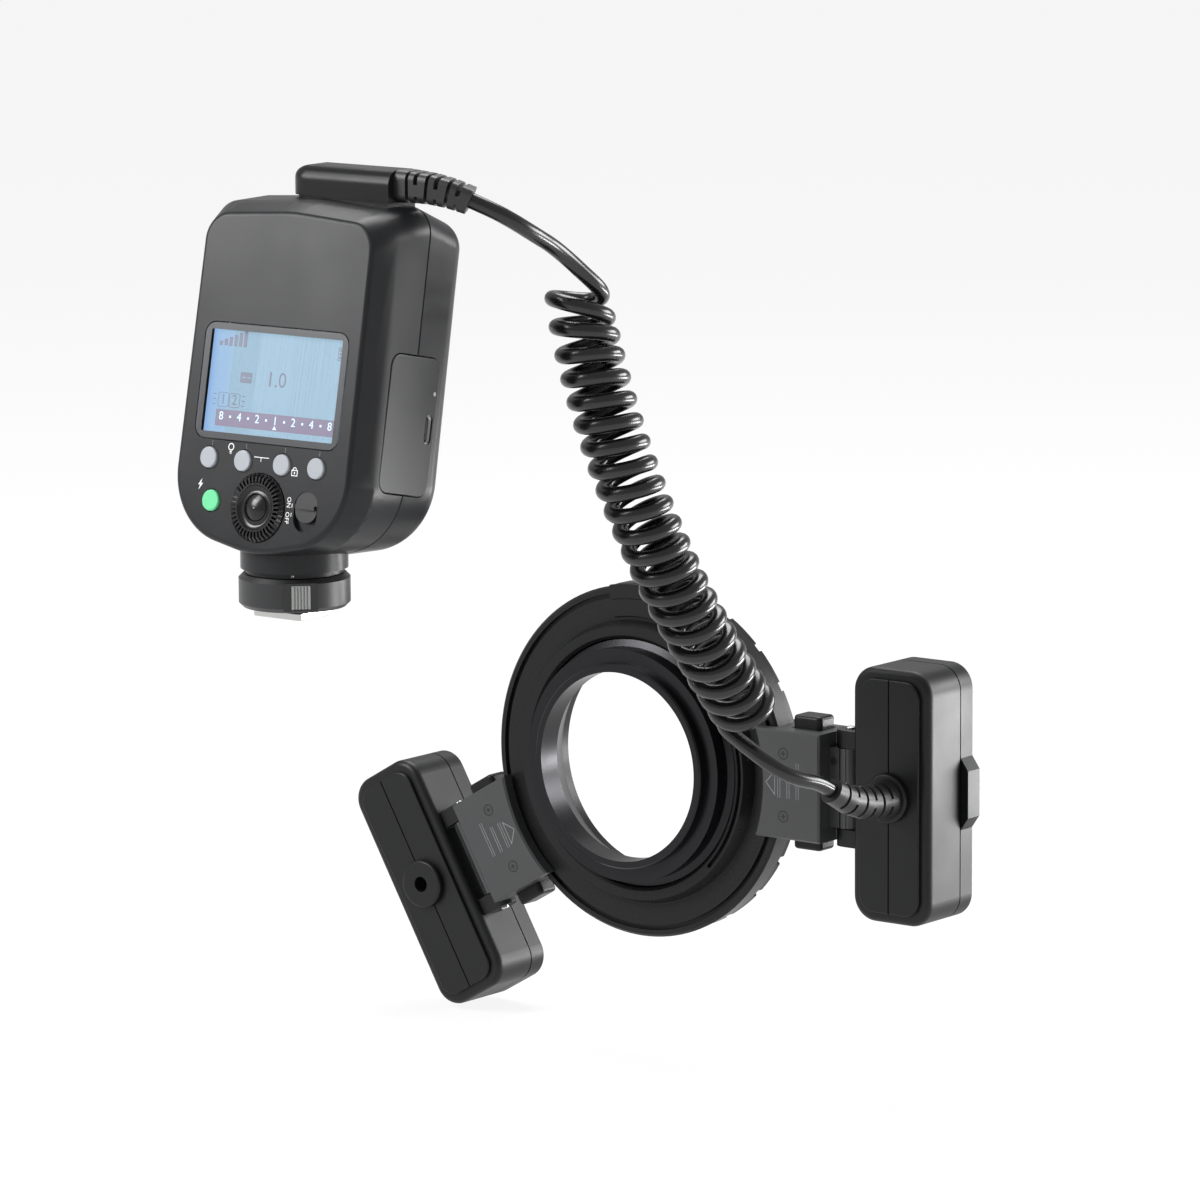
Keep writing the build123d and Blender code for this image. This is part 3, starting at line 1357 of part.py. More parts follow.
# Reflector: a trough along the tube, closed at both ends
tube_y = reflector_back + tube_from_back
trough_plane = Plane(origin=(head_x, 0, ring_z - reflector_half - reflector_wall), z_dir=(0, 0, 1))
with BuildPart() as reflector:
    with BuildSketch(trough_plane):
        outer_throat = reflector_throat + reflector_wall
        outer_mouth = reflector_mouth + reflector_wall
        Polygon(
            (-outer_throat, reflector_back),
            (outer_throat, reflector_back),
            (outer_mouth, lens_back),
            (-outer_mouth, lens_back),
            align=None,
        )
    extrude(amount=2 * (reflector_half + reflector_wall))
    with BuildSketch(trough_plane.offset(reflector_wall)):
        Polygon(
            (-reflector_throat, reflector_back + reflector_wall),
            (reflector_throat, reflector_back + reflector_wall),
            (reflector_mouth, lens_back),
            (-reflector_mouth, lens_back),
            align=None,
        )
    extrude(amount=2 * reflector_half, mode=Mode.SUBTRACT)
    with BuildSketch(trough_plane):
        with Locations((0, tube_y)):
            Circle(tube_tip_radius)
    extrude(amount=2 * (reflector_half + reflector_wall), mode=Mode.SUBTRACT)
save_both(reflector.part, "reflector")

with BuildPart() as flash_tube:
    with BuildSketch(Plane(origin=(head_x, tube_y, ring_z - tube_half), z_dir=(0, 0, 1))):
        Circle(tube_radius)
    extrude(amount=2 * tube_half)
    tip_start = ring_z - tube_half - tube_tip
    with BuildSketch(Plane(origin=(head_x, tube_y, tip_start), z_dir=(0, 0, 1))):
        Circle(tube_tip_radius)
    extrude(amount=2 * (tube_half + tube_tip))
save_both(flash_tube.part, "flash_tube")
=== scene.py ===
from math import cos, pi, radians, sin

import bpy
from mathutils import Matrix, Vector


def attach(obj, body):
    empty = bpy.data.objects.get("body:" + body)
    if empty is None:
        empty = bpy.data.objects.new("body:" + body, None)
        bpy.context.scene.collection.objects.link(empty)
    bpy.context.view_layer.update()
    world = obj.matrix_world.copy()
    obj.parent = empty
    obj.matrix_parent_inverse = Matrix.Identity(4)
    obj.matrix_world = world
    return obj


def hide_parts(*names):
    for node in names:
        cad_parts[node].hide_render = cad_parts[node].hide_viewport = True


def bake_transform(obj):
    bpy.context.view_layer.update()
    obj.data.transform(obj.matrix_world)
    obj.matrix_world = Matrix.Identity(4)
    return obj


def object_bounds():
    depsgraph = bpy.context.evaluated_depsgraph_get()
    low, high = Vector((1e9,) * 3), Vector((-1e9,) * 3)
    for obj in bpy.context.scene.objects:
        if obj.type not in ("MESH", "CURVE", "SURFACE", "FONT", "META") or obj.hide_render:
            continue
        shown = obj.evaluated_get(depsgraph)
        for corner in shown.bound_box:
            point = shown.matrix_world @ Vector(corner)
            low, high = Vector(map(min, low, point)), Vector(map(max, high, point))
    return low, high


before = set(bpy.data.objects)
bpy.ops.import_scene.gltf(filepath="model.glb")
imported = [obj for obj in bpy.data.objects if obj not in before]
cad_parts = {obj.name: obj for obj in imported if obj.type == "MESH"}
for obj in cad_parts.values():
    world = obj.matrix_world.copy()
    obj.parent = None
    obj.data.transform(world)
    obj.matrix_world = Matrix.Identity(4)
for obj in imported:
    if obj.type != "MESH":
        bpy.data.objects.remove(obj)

cad_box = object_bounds()

# Camera: a long lens behind the unit and to its right, looking slightly down.
# Its place comes from the ring's ellipse and the display's corners.
view_azimuth, view_elevation, view_roll = radians(37.551), radians(9.422), radians(-0.307)
view_target = Vector((0.11672, 0.0, 0.01575))
view_distance = 2.03734
lens_length, sensor_width, clip_end = 208.65, 36.0, 30.0
towards_camera = Vector(
    (
        sin(view_azimuth) * cos(view_elevation),
        -cos(view_azimuth) * cos(view_elevation),
        sin(view_elevation),
    )
)
camera_turn = (
    Matrix.Rotation(view_azimuth, 3, "Z")
    @ Matrix.Rotation(pi / 2 - view_elevation, 3, "X")
    @ Matrix.Rotation(view_roll, 3, "Z")
)
bpy.ops.object.camera_add(
    location=view_target + towards_camera * view_distance,
    rotation=camera_turn.to_euler(),
)
camera = bpy.context.active_object
camera.name = "camera"
camera.data.lens = lens_length
camera.data.sensor_width = sensor_width
camera.data.clip_end = clip_end
bpy.context.scene.camera = camera

# Cord: one flexible lead with a glossy black jacket, moulded into a curly coil in the middle.
# It leaves the cable block's boot, hangs as a left-handed coil and ends in the right head's boot.
cord_diameter = 0.0049
upper_route = [
    (0.0486, 0.0262, 0.1268),
    (0.0543, 0.0295, 0.1240),
    (0.0585, 0.0342, 0.1204),
    (0.0608, 0.0406, 0.1163),
    (0.0601, 0.0539, 0.1102),
    (0.0630, 0.0608, 0.1035),
]
lower_route = [
    (0.0816, 0.1178, -0.0486),
    (0.0880, 0.1177, -0.0521),
    (0.0936, 0.1204, -0.0562),
    (0.0973, 0.1257, -0.0595),
    (0.0994, 0.1349, -0.0619),
    (0.1001, 0.1396, -0.0650),
]
lead_steps, lead_roundness = 14, 8
coil_steps, coil_roundness = 3, 6
grain_detail = 3.0
handling_scale, handling_detail = 45.0, 4.0
noise_low, noise_high = 0.3, 0.7


def new_material(name, colour, roughness, metallic=0.0, gloss=0.5):
    """Principled material with its constants set on the shader's own sockets."""
    material = bpy.data.materials.new(name)
    material.use_nodes = True
    shader = material.node_tree.nodes["Principled BSDF"]
    shader.inputs["Base Color"].default_value = (*colour, 1.0)
    shader.inputs["Roughness"].default_value = roughness
    shader.inputs["Metallic"].default_value = metallic
    shader.inputs["Specular IOR Level"].default_value = gloss
    return material


def add_grain(material, size, height, variation):
    """Bump of a grain, its size in millimetres and height in microns, and a varied roughness."""
    tree = material.node_tree
    shader = tree.nodes["Principled BSDF"]
    place = tree.nodes.new("ShaderNodeTexCoord")
    grain = tree.nodes.new("ShaderNodeTexNoise")
    grain.inputs["Scale"].default_value = 1000 / size
    grain.inputs["Detail"].default_value = grain_detail
    tree.links.new(place.outputs["Object"], grain.inputs["Vector"])
    bump = tree.nodes.new("ShaderNodeBump")
    bump.inputs["Strength"].default_value = 1.0
    bump.inputs["Distance"].default_value = height / 1000000
    tree.links.new(grain.outputs["Fac"], bump.inputs["Height"])
    tree.links.new(bump.outputs["Normal"], shader.inputs["Normal"])
    handling = tree.nodes.new("ShaderNodeTexNoise")
    handling.inputs["Scale"].default_value = handling_scale
    handling.inputs["Detail"].default_value = handling_detail
    tree.links.new(place.outputs["Object"], handling.inputs["Vector"])
    spread = tree.nodes.new("ShaderNodeMapRange")
    middle = shader.inputs["Roughness"].default_value
    spread.inputs["From Min"].default_value = noise_low
    spread.inputs["From Max"].default_value = noise_high
    spread.inputs["To Min"].default_value = middle - variation
    spread.inputs["To Max"].default_value = middle + variation
    tree.links.new(handling.outputs["Fac"], spread.inputs["Value"])
    tree.links.new(spread.outputs["Result"], shader.inputs["Roughness"])
    return material


def grained(name, colour, roughness, grain, metallic=0.0, gloss=0.5):
    """New material with a grain of a size, a height and a variation in roughness."""
    return add_grain(new_material(name, colour, roughness, metallic, gloss), *grain)


def cord_curve(name, points, stretch_steps):
    """Smooth NURBS line through a route's control points."""
    curve = bpy.data.curves.new(name, "CURVE")
    curve.dimensions = "3D"
    curve.resolution_u = stretch_steps
    spline = curve.splines.new("NURBS")
    spline.points.add(len(points) - 1)
    for control, point in zip(spline.points, points):
        control.co = (*point, 1.0)
    spline.order_u = 3
    spline.use_endpoint_u = True
    piece = bpy.data.objects.new(name, curve)
    bpy.context.scene.collection.objects.link(piece)
    return piece


def centreline(piece):
    """Points along a curve that has no bevel yet."""
    line = bpy.data.meshes.new_from_object(piece)
    points = [tuple(vertex.co) for vertex in line.vertices]
    bpy.data.meshes.remove(line)
    return points


def make_tube(piece, diameter, material, roundness):
    """Give the curve its round section and turn it into a mesh."""
    piece.data.bevel_depth = diameter / 2
    piece.data.bevel_resolution = roundness
    piece.data.use_fill_caps = True
    piece.data.materials.append(material)
    bpy.ops.object.select_all(action="DESELECT")
    piece.select_set(True)
    bpy.context.view_layer.objects.active = piece
    bpy.ops.object.convert(target="MESH")
    tube = bpy.context.active_object
    for face in tube.data.polygons:
        face.use_smooth = True
    return tube


jacket = grained("cord_jacket", (0.006, 0.006, 0.007), 0.24, (0.4, 0.8, 0.03), gloss=0.6)

upper_lead = cord_curve("cord_upper_lead", upper_route, lead_steps)
upper_path = centreline(upper_lead)
upper_lead = make_tube(upper_lead, cord_diameter, jacket, lead_roundness)
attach(upper_lead, "control_unit")
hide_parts("cord_upper")

# Coil: the jacket was wound hot on a mandrel, so every turn keeps the same radius.
# The first turns lean where the lead pulls on them, and the axis sags towards the ring.
coil_radius = 0.0082
coil_first_turn, coil_last_turn = -0.14, 21.62
coil_steep_until, coil_steepness = 0.25, 0.022
coil_tilt, coil_tilt_until = 0.47, 2.6
coil_axis = [
    Vector((0.0577, 0.0660, 0.0961)),
    Vector((0.0717, 0.0620, 0.0451)),
    Vector((0.0896, 0.0740, 0.0001)),
    Vector((0.0804, 0.1230, -0.0407)),
]
axis_samples, slope_step = 100, 0.001
winding_side = Vector((0.793, 0.609, 0.0))
points_per_turn = 16
mandrel_radius = coil_radius / cos(pi / points_per_turn)


def coil_axis_point(share):
    """Point on the cubic curve that the coil hangs along."""
    left = 1 - share
    return (
        coil_axis[0] * left**3
        + coil_axis[1] * (3 * left**2 * share)
        + coil_axis[2] * (3 * left * share**2)
        + coil_axis[3] * share**3
    )


coil_axis_length = sum(
    (coil_axis_point((index + 1) / axis_samples) - coil_axis_point(index / axis_samples)).length
    for index in range(axis_samples)
)


def coil_point(turn, radius):
    """Point of the wire's centreline after so many turns."""
    steep = coil_steepness * max(coil_steep_until - turn, 0) ** 2
    share = turn / coil_last_turn - steep / coil_axis_length
    run = coil_axis_point(share + slope_step) - coil_axis_point(share - slope_step)
    along = run.normalized()
    sideways = (winding_side - along * winding_side.dot(along)).normalized()
    away = sideways.cross(along)
    tilt = coil_tilt * max(1 - turn / coil_tilt_until, 0)
    sideways = (sideways + along * tilt).normalized()
    angle = 2 * pi * turn
    return coil_axis_point(share) + (sideways * cos(angle) + away * sin(angle)) * radius


turn_steps = round((coil_last_turn - coil_first_turn) * points_per_turn)
coil_stops = [
    coil_first_turn + (coil_last_turn - coil_first_turn) * index / turn_steps
    for index in range(turn_steps + 1)
]
coil_route = [upper_route[-1]]
coil_route.append(coil_point(coil_stops[0], coil_radius))
coil_route.extend(coil_point(turn, mandrel_radius) for turn in coil_stops[1:-1])
coil_route.append(coil_point(coil_stops[-1], coil_radius))
coil_route.append(lower_route[0])

coil = cord_curve("cord_curly_coil", coil_route, coil_steps)
coil_path = centreline(coil)
coil = make_tube(coil, cord_diameter, jacket, coil_roundness)
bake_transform(coil)
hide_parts("cord_coil")

lower_lead = cord_curve("cord_lower_lead", lower_route, lead_steps)
lower_path = centreline(lower_lead)
lower_lead = make_tube(lower_lead, cord_diameter, jacket, lead_roundness)
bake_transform(lower_lead)
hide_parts("cord_lower")

# Control unit housing: two moulded shells of black ABS with a fine satin grain.
# Four screws in the front shell reach into the posts of the rear shell.
# Light runs smoothly over their blunt edges, and only edges past soft_edge stay crisp.
soft_edge, weld_distance, face_weight = radians(40.0), 0.000001, 60


def dress(material, *names):
    """Give CAD nodes their finish."""
    for name in names:
        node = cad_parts[name]
        node.data.materials.clear()
        node.data.materials.append(material)


def soften(name):
    """Let the light run smoothly over a moulding's wide, blunt edges."""
    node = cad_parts[name]
    weld = node.modifiers.new("weld", "WELD")
    weld.merge_threshold = weld_distance
    split = node.modifiers.new("split", "EDGE_SPLIT")
    split.split_angle = soft_edge
    split.use_edge_sharp = False
    flow = node.modifiers.new("flow", "WEIGHTED_NORMAL")
    flow.weight = face_weight


satin_black = (0.015, 0.0155, 0.017)
housing = grained("satin_housing", satin_black, 0.34, (0.3, 4, 0.04), gloss=0.24)
dress(housing, "rear_shell", "front_shell")
soften("rear_shell")
soften("front_shell")
screw_steel = grained("black_zinc_steel", (0.06, 0.06, 0.062), 0.38, (0.4, 5, 0.06), 0.9)
dress(screw_steel, "case_screws")

# Liquid-crystal display: a glass cell with an even blue-white backlight.
# The light comes from its left edge, so that edge is a deeper blue.
panel_lean = radians(11.2)
panel_up = (0.0, sin(panel_lean), cos(panel_lean))
panel_face = ((0.0, -0.0096, 0.0711), (1.0, 0.0, 0.0), panel_up)
lcd_half_width, lcd_edge_width = 0.0258, 0.004
edge_blue, middle_blue = (0.27, 0.45, 0.74, 1.0), (0.36, 0.54, 0.69, 1.0)
lcd = grained("backlit_crystal", (0.05, 0.07, 0.09), 0.5, (0.4, 0.4, 0.04))
tree = lcd.node_tree
lcd_place = tree.nodes.new("ShaderNodeTexCoord")
lcd_across = tree.nodes.new("ShaderNodeSeparateXYZ")
tree.links.new(lcd_place.outputs["Object"], lcd_across.inputs[0])
edge_glow = tree.nodes.new("ShaderNodeMapRange")
edge_glow.interpolation_type = "SMOOTHSTEP"
edge_glow.inputs["From Min"].default_value = -lcd_half_width
edge_glow.inputs["From Max"].default_value = -lcd_half_width + lcd_edge_width
tree.links.new(lcd_across.outputs["X"], edge_glow.inputs["Value"])
backlight = tree.nodes.new("ShaderNodeMix")
backlight.data_type = "RGBA"
backlight.inputs["A"].default_value = edge_blue
backlight.inputs["B"].default_value = middle_blue
tree.links.new(edge_glow.outputs["Result"], backlight.inputs["Factor"])
lcd_shader = tree.nodes["Principled BSDF"]
tree.links.new(backlight.outputs["Result"], lcd_shader.inputs["Emission Color"])
lcd_shader.inputs["Emission Strength"].default_value = 1.0
dress(lcd, "lcd_module")

# Figures of the display: dark liquid-crystal segments behind the window.
# They show level bars, a plain number, two numbered cells, a battery sign and a scale.
# All their sizes and places are in millimetres, from the middle of the display.
figure_steps, same_point = 3, 0.000001


def box_outline(centre, size, radius=0.0, steps=5):
    """Outline of a rectangle, with round corners if it has a radius, in millimetres."""
    half_x, half_y = size[0] / 2 - radius, size[1] / 2 - radius
    outline = []
    for quarter, (side_x, side_y) in enumerate(((1, 1), (-1, 1), (-1, -1), (1, -1))):
        for step in range(steps + 1 if radius else 1):
            angle = (quarter + step / steps) * pi / 2
            x = centre[0] + side_x * half_x + radius * cos(angle)
            y = centre[1] + side_y * half_y + radius * sin(angle)
            outline.append((x, y))
    return outline


def flat_shape(name, outlines, thickness):
    """Flat curve filled between closed outlines, in millimetres."""
    curve = bpy.data.curves.new(name, "CURVE")
    curve.dimensions = "2D"
    curve.fill_mode = "BOTH"
    curve.extrude = thickness / 2000
    for outline in outlines:
        spline = curve.splines.new("POLY")
        spline.points.add(len(outline) - 1)
        for control, (x, y) in zip(spline.points, outline):
            control.co = (x / 1000, y / 1000, 0.0, 1.0)
        spline.use_cyclic_u = True
    piece = bpy.data.objects.new(name, curve)
    bpy.context.scene.collection.objects.link(piece)
    return piece


def figures(name, words, size, thickness):
    """Plain printed figures of a size in millimetres, centred on their place."""
    bpy.ops.object.text_add()
    text = bpy.context.active_object
    text.name = name
    text.data.body = words
    text.data.size = size / 1000
    text.data.align_x = "CENTER"
    text.data.align_y = "CENTER"
    text.data.extrude = thickness / 2000
    text.data.resolution_u = figure_steps
    return text


def lay(piece, face, material, spot=(0.0, 0.0), lift=0.0, turn=0.0):
    """Make a flat piece a mesh and put it on a face given by its origin, right and up."""
    origin, right, up = (Vector(axis) for axis in face)
    outward = right.cross(up)
    origin = origin + (right * spot[0] + up * spot[1] + outward * lift) / 1000
    bpy.ops.object.select_all(action="DESELECT")
    piece.select_set(True)
    bpy.context.view_layer.objects.active = piece
    bpy.ops.object.convert(target="MESH")
    piece = bpy.context.active_object
    axes = Matrix((right, up, outward)).transposed() @ Matrix.Rotation(radians(turn), 3, "Z")
    piece.matrix_world = Matrix.Translation(origin) @ axes.to_4x4()
    bpy.ops.object.transform_apply(location=True, rotation=True, scale=True)
    bpy.ops.object.mode_set(mode="EDIT")
    bpy.ops.mesh.select_all(action="SELECT")
    bpy.ops.mesh.remove_doubles(threshold=same_point)
    bpy.ops.mesh.normals_make_consistent(inside=False)
    bpy.ops.object.mode_set(mode="OBJECT")
    piece.data.materials.clear()
    piece.data.materials.append(material)
    return piece


def glowing(name, colour):
    """Ink on the display: it lets a share of the backlight through."""
    ink = grained(name, colour, 0.5, (0.3, 0.3, 0.03))
    shader = ink.node_tree.nodes["Principled BSDF"]
    shader.inputs["Emission Color"].default_value = (*colour, 1.0)
    shader.inputs["Emission Strength"].default_value = 1.0
    return ink


segment_ink = glowing("dark_segments", (0.105, 0.115, 0.160))
band_ink = glowing("dark_band", (0.120, 0.105, 0.155))
band_light = glowing("light_figures", (0.42, 0.56, 0.68))
ink_thick, ink_lift, band_lift = 0.03, -1.26, -1.22

bar_count, bar_pitch, bar_width = 6, 1.9, 1.3
first_bar, first_bar_height, bar_growth = (-22.6, 11.4), 1.4, 0.7
segment_outlines = []
for bar in range(bar_count):
    bar_middle = (first_bar[0] + bar_pitch * bar, first_bar[1] + bar_growth / 2 * bar)
    segment_outlines.append(box_outline(bar_middle, (bar_width, first_bar_height + bar_growth * bar)))

badge_middle, badge_size, badge_corner = (-11.3, 1.6), (4.6, 3.2), 0.3
badge_dash_columns, badge_dash_size = (-12.2, -10.1), (1.5, 0.4)
segment_outlines.append(box_outline(badge_middle, badge_size, badge_corner))
for column in badge_dash_columns:
    segment_outlines.append(box_outline((column, badge_middle[1]), badge_dash_size))

cell_columns, cell_row = (-19.3, -14.9), -5.6
cell_outer, cell_outer_corner = (4.2, 4.4), 0.6
cell_inner, cell_inner_corner = (3.8, 4.0), 0.45
for column in cell_columns:
    segment_outlines.append(box_outline((column, cell_row), cell_outer, cell_outer_corner))
    segment_outlines.append(box_outline((column, cell_row), cell_inner, cell_inner_corner))
ray_reach, ray_pitch, ray_size = 5.7, 1.5, (1.2, 0.3)
for ray in (-1, 0, 1):
    for side in (-1, 1):
        ray_middle = (sum(cell_columns) / 2 + side * ray_reach, cell_row + ray_pitch * ray)
        segment_outlines.append(box_outline(ray_middle, ray_size))

battery_sign, battery_outer, battery_inner = (24.3, 11.4), (1.9, 4.0), (1.4, 3.5)
battery_bar, battery_bar_rows = (0.9, 0.7), (-1.1, 0.0, 1.1)
segment_outlines.append(box_outline(battery_sign, battery_outer))
segment_outlines.append(box_outline(battery_sign, battery_inner))
for row in battery_bar_rows:
    segment_outlines.append(box_outline((battery_sign[0], battery_sign[1] + row), battery_bar))
segment_shape = flat_shape("display_segments", segment_outlines, ink_thick)
display_pieces = [lay(segment_shape, panel_face, segment_ink, lift=ink_lift)]

band_middle, band_size = (2.1, -11.1), (47.4, 5.0)
band_shape = flat_shape("display_band", [box_outline(band_middle, band_size)], ink_thick)
display_pieces.append(lay(band_shape, panel_face, band_ink, lift=ink_lift))

number_size, number_spot, cell_number_size = 6.6, (0.6, 1.6), 4.4
for name, word, size, spot in (
    ("display_number", "1.0", number_size, number_spot),
    ("display_cell_one", "1", cell_number_size, (cell_columns[0], cell_row)),
    ("display_cell_two", "2", cell_number_size, (cell_columns[1], cell_row)),
):
    figure = figures(name, word, size, ink_thick)
    display_pieces.append(lay(figure, panel_face, segment_ink, spot, ink_lift))

scale_words = ("8", "4", "2", "1", "2", "4", "8")
scale_start, scale_pitch, scale_row, scale_size = -19.4, 7.1, -10.6, 3.6
for index, word in enumerate(scale_words):
    figure = figures(f"display_scale_{index}", word, scale_size, ink_thick)
    spot = (scale_start + scale_pitch * index, scale_row)
    display_pieces.append(lay(figure, panel_face, band_light, spot, band_lift))

scale_dot = (0.7, 0.7)
marker_outlines = [
    box_outline((scale_start + scale_pitch * (gap + 0.5), scale_row), scale_dot)
    for gap in range(len(scale_words) - 1)
]
pointer_column, pointer_tip, pointer_foot, pointer_half = 1.9, -12.0, -13.2, 0.8
marker_outlines.append(
    [
        (pointer_column, pointer_tip),
        (pointer_column - pointer_half, pointer_foot),
        (pointer_column + pointer_half, pointer_foot),
    ]
)
marker_shape = flat_shape("display_scale_marks", marker_outlines, ink_thick)
display_pieces.append(lay(marker_shape, panel_face, band_light, lift=band_lift))
for piece in display_pieces:
    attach(piece, "control_unit")

# Window over the display: clear acrylic, let in flush with the panel.
# A satin border is printed round the glass, and a dark gap runs round the window.
window_alpha, print_thick = 0.05, 0.06
border_outer, border_outer_corner = (55.9, 35.1), 3.8
border_inner, border_inner_corner = (51.4, 31.0), 0.4
window_glass = new_material("window_acrylic", (0.004, 0.004, 0.005), 0.08)
window_glass.node_tree.nodes["Principled BSDF"].inputs["Alpha"].default_value = window_alpha
add_grain(window_glass, 2, 0.4, 0.02)
dress(window_glass, "display_window")
border_grey = (0.045, 0.047, 0.052)
border_print = grained("window_border_print", border_grey, 0.30, (0.3, 1, 0.03), gloss=0.33)
border_outlines = [
    box_outline((0.0, 0.0), border_outer, border_outer_corner, 10),
    box_outline((0.0, 0.0), border_inner, border_inner_corner, 4),
]
border_shape = flat_shape("window_border", border_outlines, print_thick)
border = lay(border_shape, panel_face, border_print)
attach(border, "control_unit")

# Four grey rubber keys under the display and a green one beside the dial.
# Each cap is a light dome that stands just proud of its hole.
button_grey = grained("grey_rubber_key", (0.31, 0.33, 0.36), 0.42, (0.4, 2, 0.04))
dress(button_grey, "mode_button", "lamp_button", "menu_button", "ratio_button")
button_green = grained("green_ready_key", (0.13, 0.58, 0.28), 0.36, (0.4, 2, 0.04), gloss=0.3)
dress(button_green, "test_button")

# White print on the panel: signs for the light, the lock and the test flash, and ON and OFF.
# A short tick leads from the display to each key, and a bracket joins the two in the middle.
white_print = grained("white_panel_print", (0.82, 0.83, 0.84), 0.5, (0.2, 0.5, 0.04))
faint_print = grained("faint_panel_print", (0.10, 0.105, 0.11), 0.5, (0.2, 0.5, 0.04))


def arc_outline(centre, inner, outer, start, end, steps=12):
    """Outline of a band along an arc, in millimetres and degrees."""
    angles = [radians(start + (end - start) * step / steps) for step in range(steps + 1)]
    way_out = [(outer, angle) for angle in angles]
    way_back = [(inner, angle) for angle in reversed(angles)]
    return [
        (centre[0] + reach * cos(angle), centre[1] + reach * sin(angle))
        for reach, angle in way_out + way_back
    ]


def disc_outline(centre, radius, steps=32):
    """Outline of a round spot, in millimetres."""
    angles = [2 * pi * step / steps for step in range(steps)]
    return [(centre[0] + radius * cos(angle), centre[1] + radius * sin(angle)) for angle in angles]


bulb, bulb_outer, bulb_inner, bulb_steps = (-13.0, -19.6), 1.15, 0.85, 28
cap_drop, cap_size = 1.5, (0.9, 0.28)
tip_drop, tip_size = 1.95, (0.7, 0.24)
sign_outlines = [
    disc_outline(bulb, bulb_outer, bulb_steps),
    disc_outline(bulb, bulb_inner, bulb_steps),
    box_outline((bulb[0], bulb[1] - cap_drop), cap_size),
    box_outline((bulb[0], bulb[1] - tip_drop), tip_size),
]
lock, lock_outer, lock_outer_corner = (12.7, -25.4), (2.4, 1.9), 0.2
lock_inner, lock_inner_corner, keyhole = (1.9, 1.4), 0.1, (0.4, 0.7)
shackle_rise, shackle_inner, shackle_outer = 1.0, 0.5, 0.75
shackle_middle = (lock[0], lock[1] + shackle_rise)
sign_outlines += [
    box_outline(lock, lock_outer, lock_outer_corner),
    box_outline(lock, lock_inner, lock_inner_corner),
    box_outline(lock, keyhole),
    arc_outline(shackle_middle, shackle_inner, shackle_outer, 0.0, 180.0),
]
bracket_left, bracket_right, bracket_top, bracket_low = -3.6, 2.2, -21.75, -21.97
stem_left, stem_right, stem_foot = -0.95, -0.72, -23.2
bracket_outline = [
    (bracket_left, bracket_top),
    (bracket_left, bracket_low),
    (stem_left, bracket_low),
    (stem_left, stem_foot),
    (stem_right, stem_foot),
    (stem_right, bracket_low),
    (bracket_right, bracket_low),
    (bracket_right, bracket_top),
]
switch_tick_column, switch_tick_rows, switch_tick = 13.2, (-35.2, -37.9), (0.2, 1.2)
sign_outlines.append(bracket_outline)
for row in switch_tick_rows:
    sign_outlines.append(box_outline((switch_tick_column, row), switch_tick))
bolt = (-23.4, -31.7)
bolt_corners = [(0.5, 1.8), (-0.95, -0.25), (-0.1, -0.25), (-0.6, -1.8), (0.95, 0.35), (0.1, 0.35)]
sign_outlines.append([(bolt[0] + x, bolt[1] + y) for x, y in bolt_corners])
sign_shape = flat_shape("panel_signs", sign_outlines, print_thick)
prints = [lay(sign_shape, panel_face, white_print)]

word_size, on_spot, off_spot = 2.1, (11.8, -34.3), (11.7, -39.0)
on_word = figures("switch_on_word", "ON", word_size, print_thick)
prints.append(lay(on_word, panel_face, white_print, on_spot, turn=-90))
off_word = figures("switch_off_word", "OFF", word_size, print_thick)
prints.append(lay(off_word, panel_face, white_print, off_spot, turn=-90))

key_columns, tick_offset, tick_row, tick_size = (-21.05, -7.65, 7.65, 21.05), 0.6, -19.0, (0.22, 1.6)
tick_outlines = [box_outline((column + tick_offset, tick_row), tick_size) for column in key_columns]
tick_shape = flat_shape("key_ticks", tick_outlines, print_thick)
prints.append(lay(tick_shape, panel_face, faint_print))
for piece in prints:
    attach(piece, "control_unit")

# Select dial with its ribbed edge, the set button in its middle, and the slide switch.
# The dial and its button are moulded glossier than the housing, and the switch as dull as it.
dial_black = grained("glossy_dial", (0.008, 0.008, 0.009), 0.24, (0.5, 2, 0.04), gloss=0.4)
dress(dial_black, "select_dial", "set_button")
switch_black = grained("switch_plastic", (0.020, 0.020, 0.022), 0.33, (0.4, 3, 0.04))
dress(switch_black, "power_switch")

# Circuit board behind the panel, with the capacitor and the battery bay.
# Green solder mask, a sleeved aluminium can, dark grey moulding and gold-plated contacts.
board_green = grained("solder_mask", (0.01, 0.10, 0.04), 0.35, (1.2, 20, 0.06))
dress(board_green, "control_board")
can = grained("capacitor_sleeve", (0.02, 0.03, 0.09), 0.30, (1, 10, 0.05))
dress(can, "flash_capacitor")
inner = grained("bay_plastic", (0.05, 0.05, 0.055), 0.5, (0.5, 10, 0.05))
dress(inner, "battery_bay")
gold = grained("gold_contact", (0.85, 0.58, 0.24), 0.22, (0.6, 2, 0.05), 1.0)
dress(gold, "battery_contacts", "contact_pins")

# Battery pack: a slide-in block with a charging socket in its outer face.
# A small light guide beside the socket shows that it charges.
pack_black = grained("pack_plastic", (0.018, 0.0185, 0.020), 0.34, (0.3, 4, 0.04), gloss=0.33)
dress(pack_black, "battery_pack")
guide_face = ((0.0364, 0.02306, 0.0677), (0.0, 1.0, 0.0), (0.0, 0.0, 1.0))
guide_radius, guide_steps, guide_thick, guide_lift = 0.62, 20, 0.24, 0.12
light_guide_and_glint = grained("light_guide_and_glint", (0.45, 0.46, 0.46), 0.2, (0.3, 0.5, 0.04))
guide_outlines = [disc_outline((0.0, 0.0), guide_radius, guide_steps)]
guide_shape = flat_shape("pack_light_guide", guide_outlines, guide_thick)
guide = lay(guide_shape, guide_face, light_guide_and_glint, lift=guide_lift)
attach(guide, "battery")
socket_right = (0.0, cos(panel_lean), -sin(panel_lean))
socket_face = ((0.0367, 0.01967, 0.05726), socket_right, panel_up)
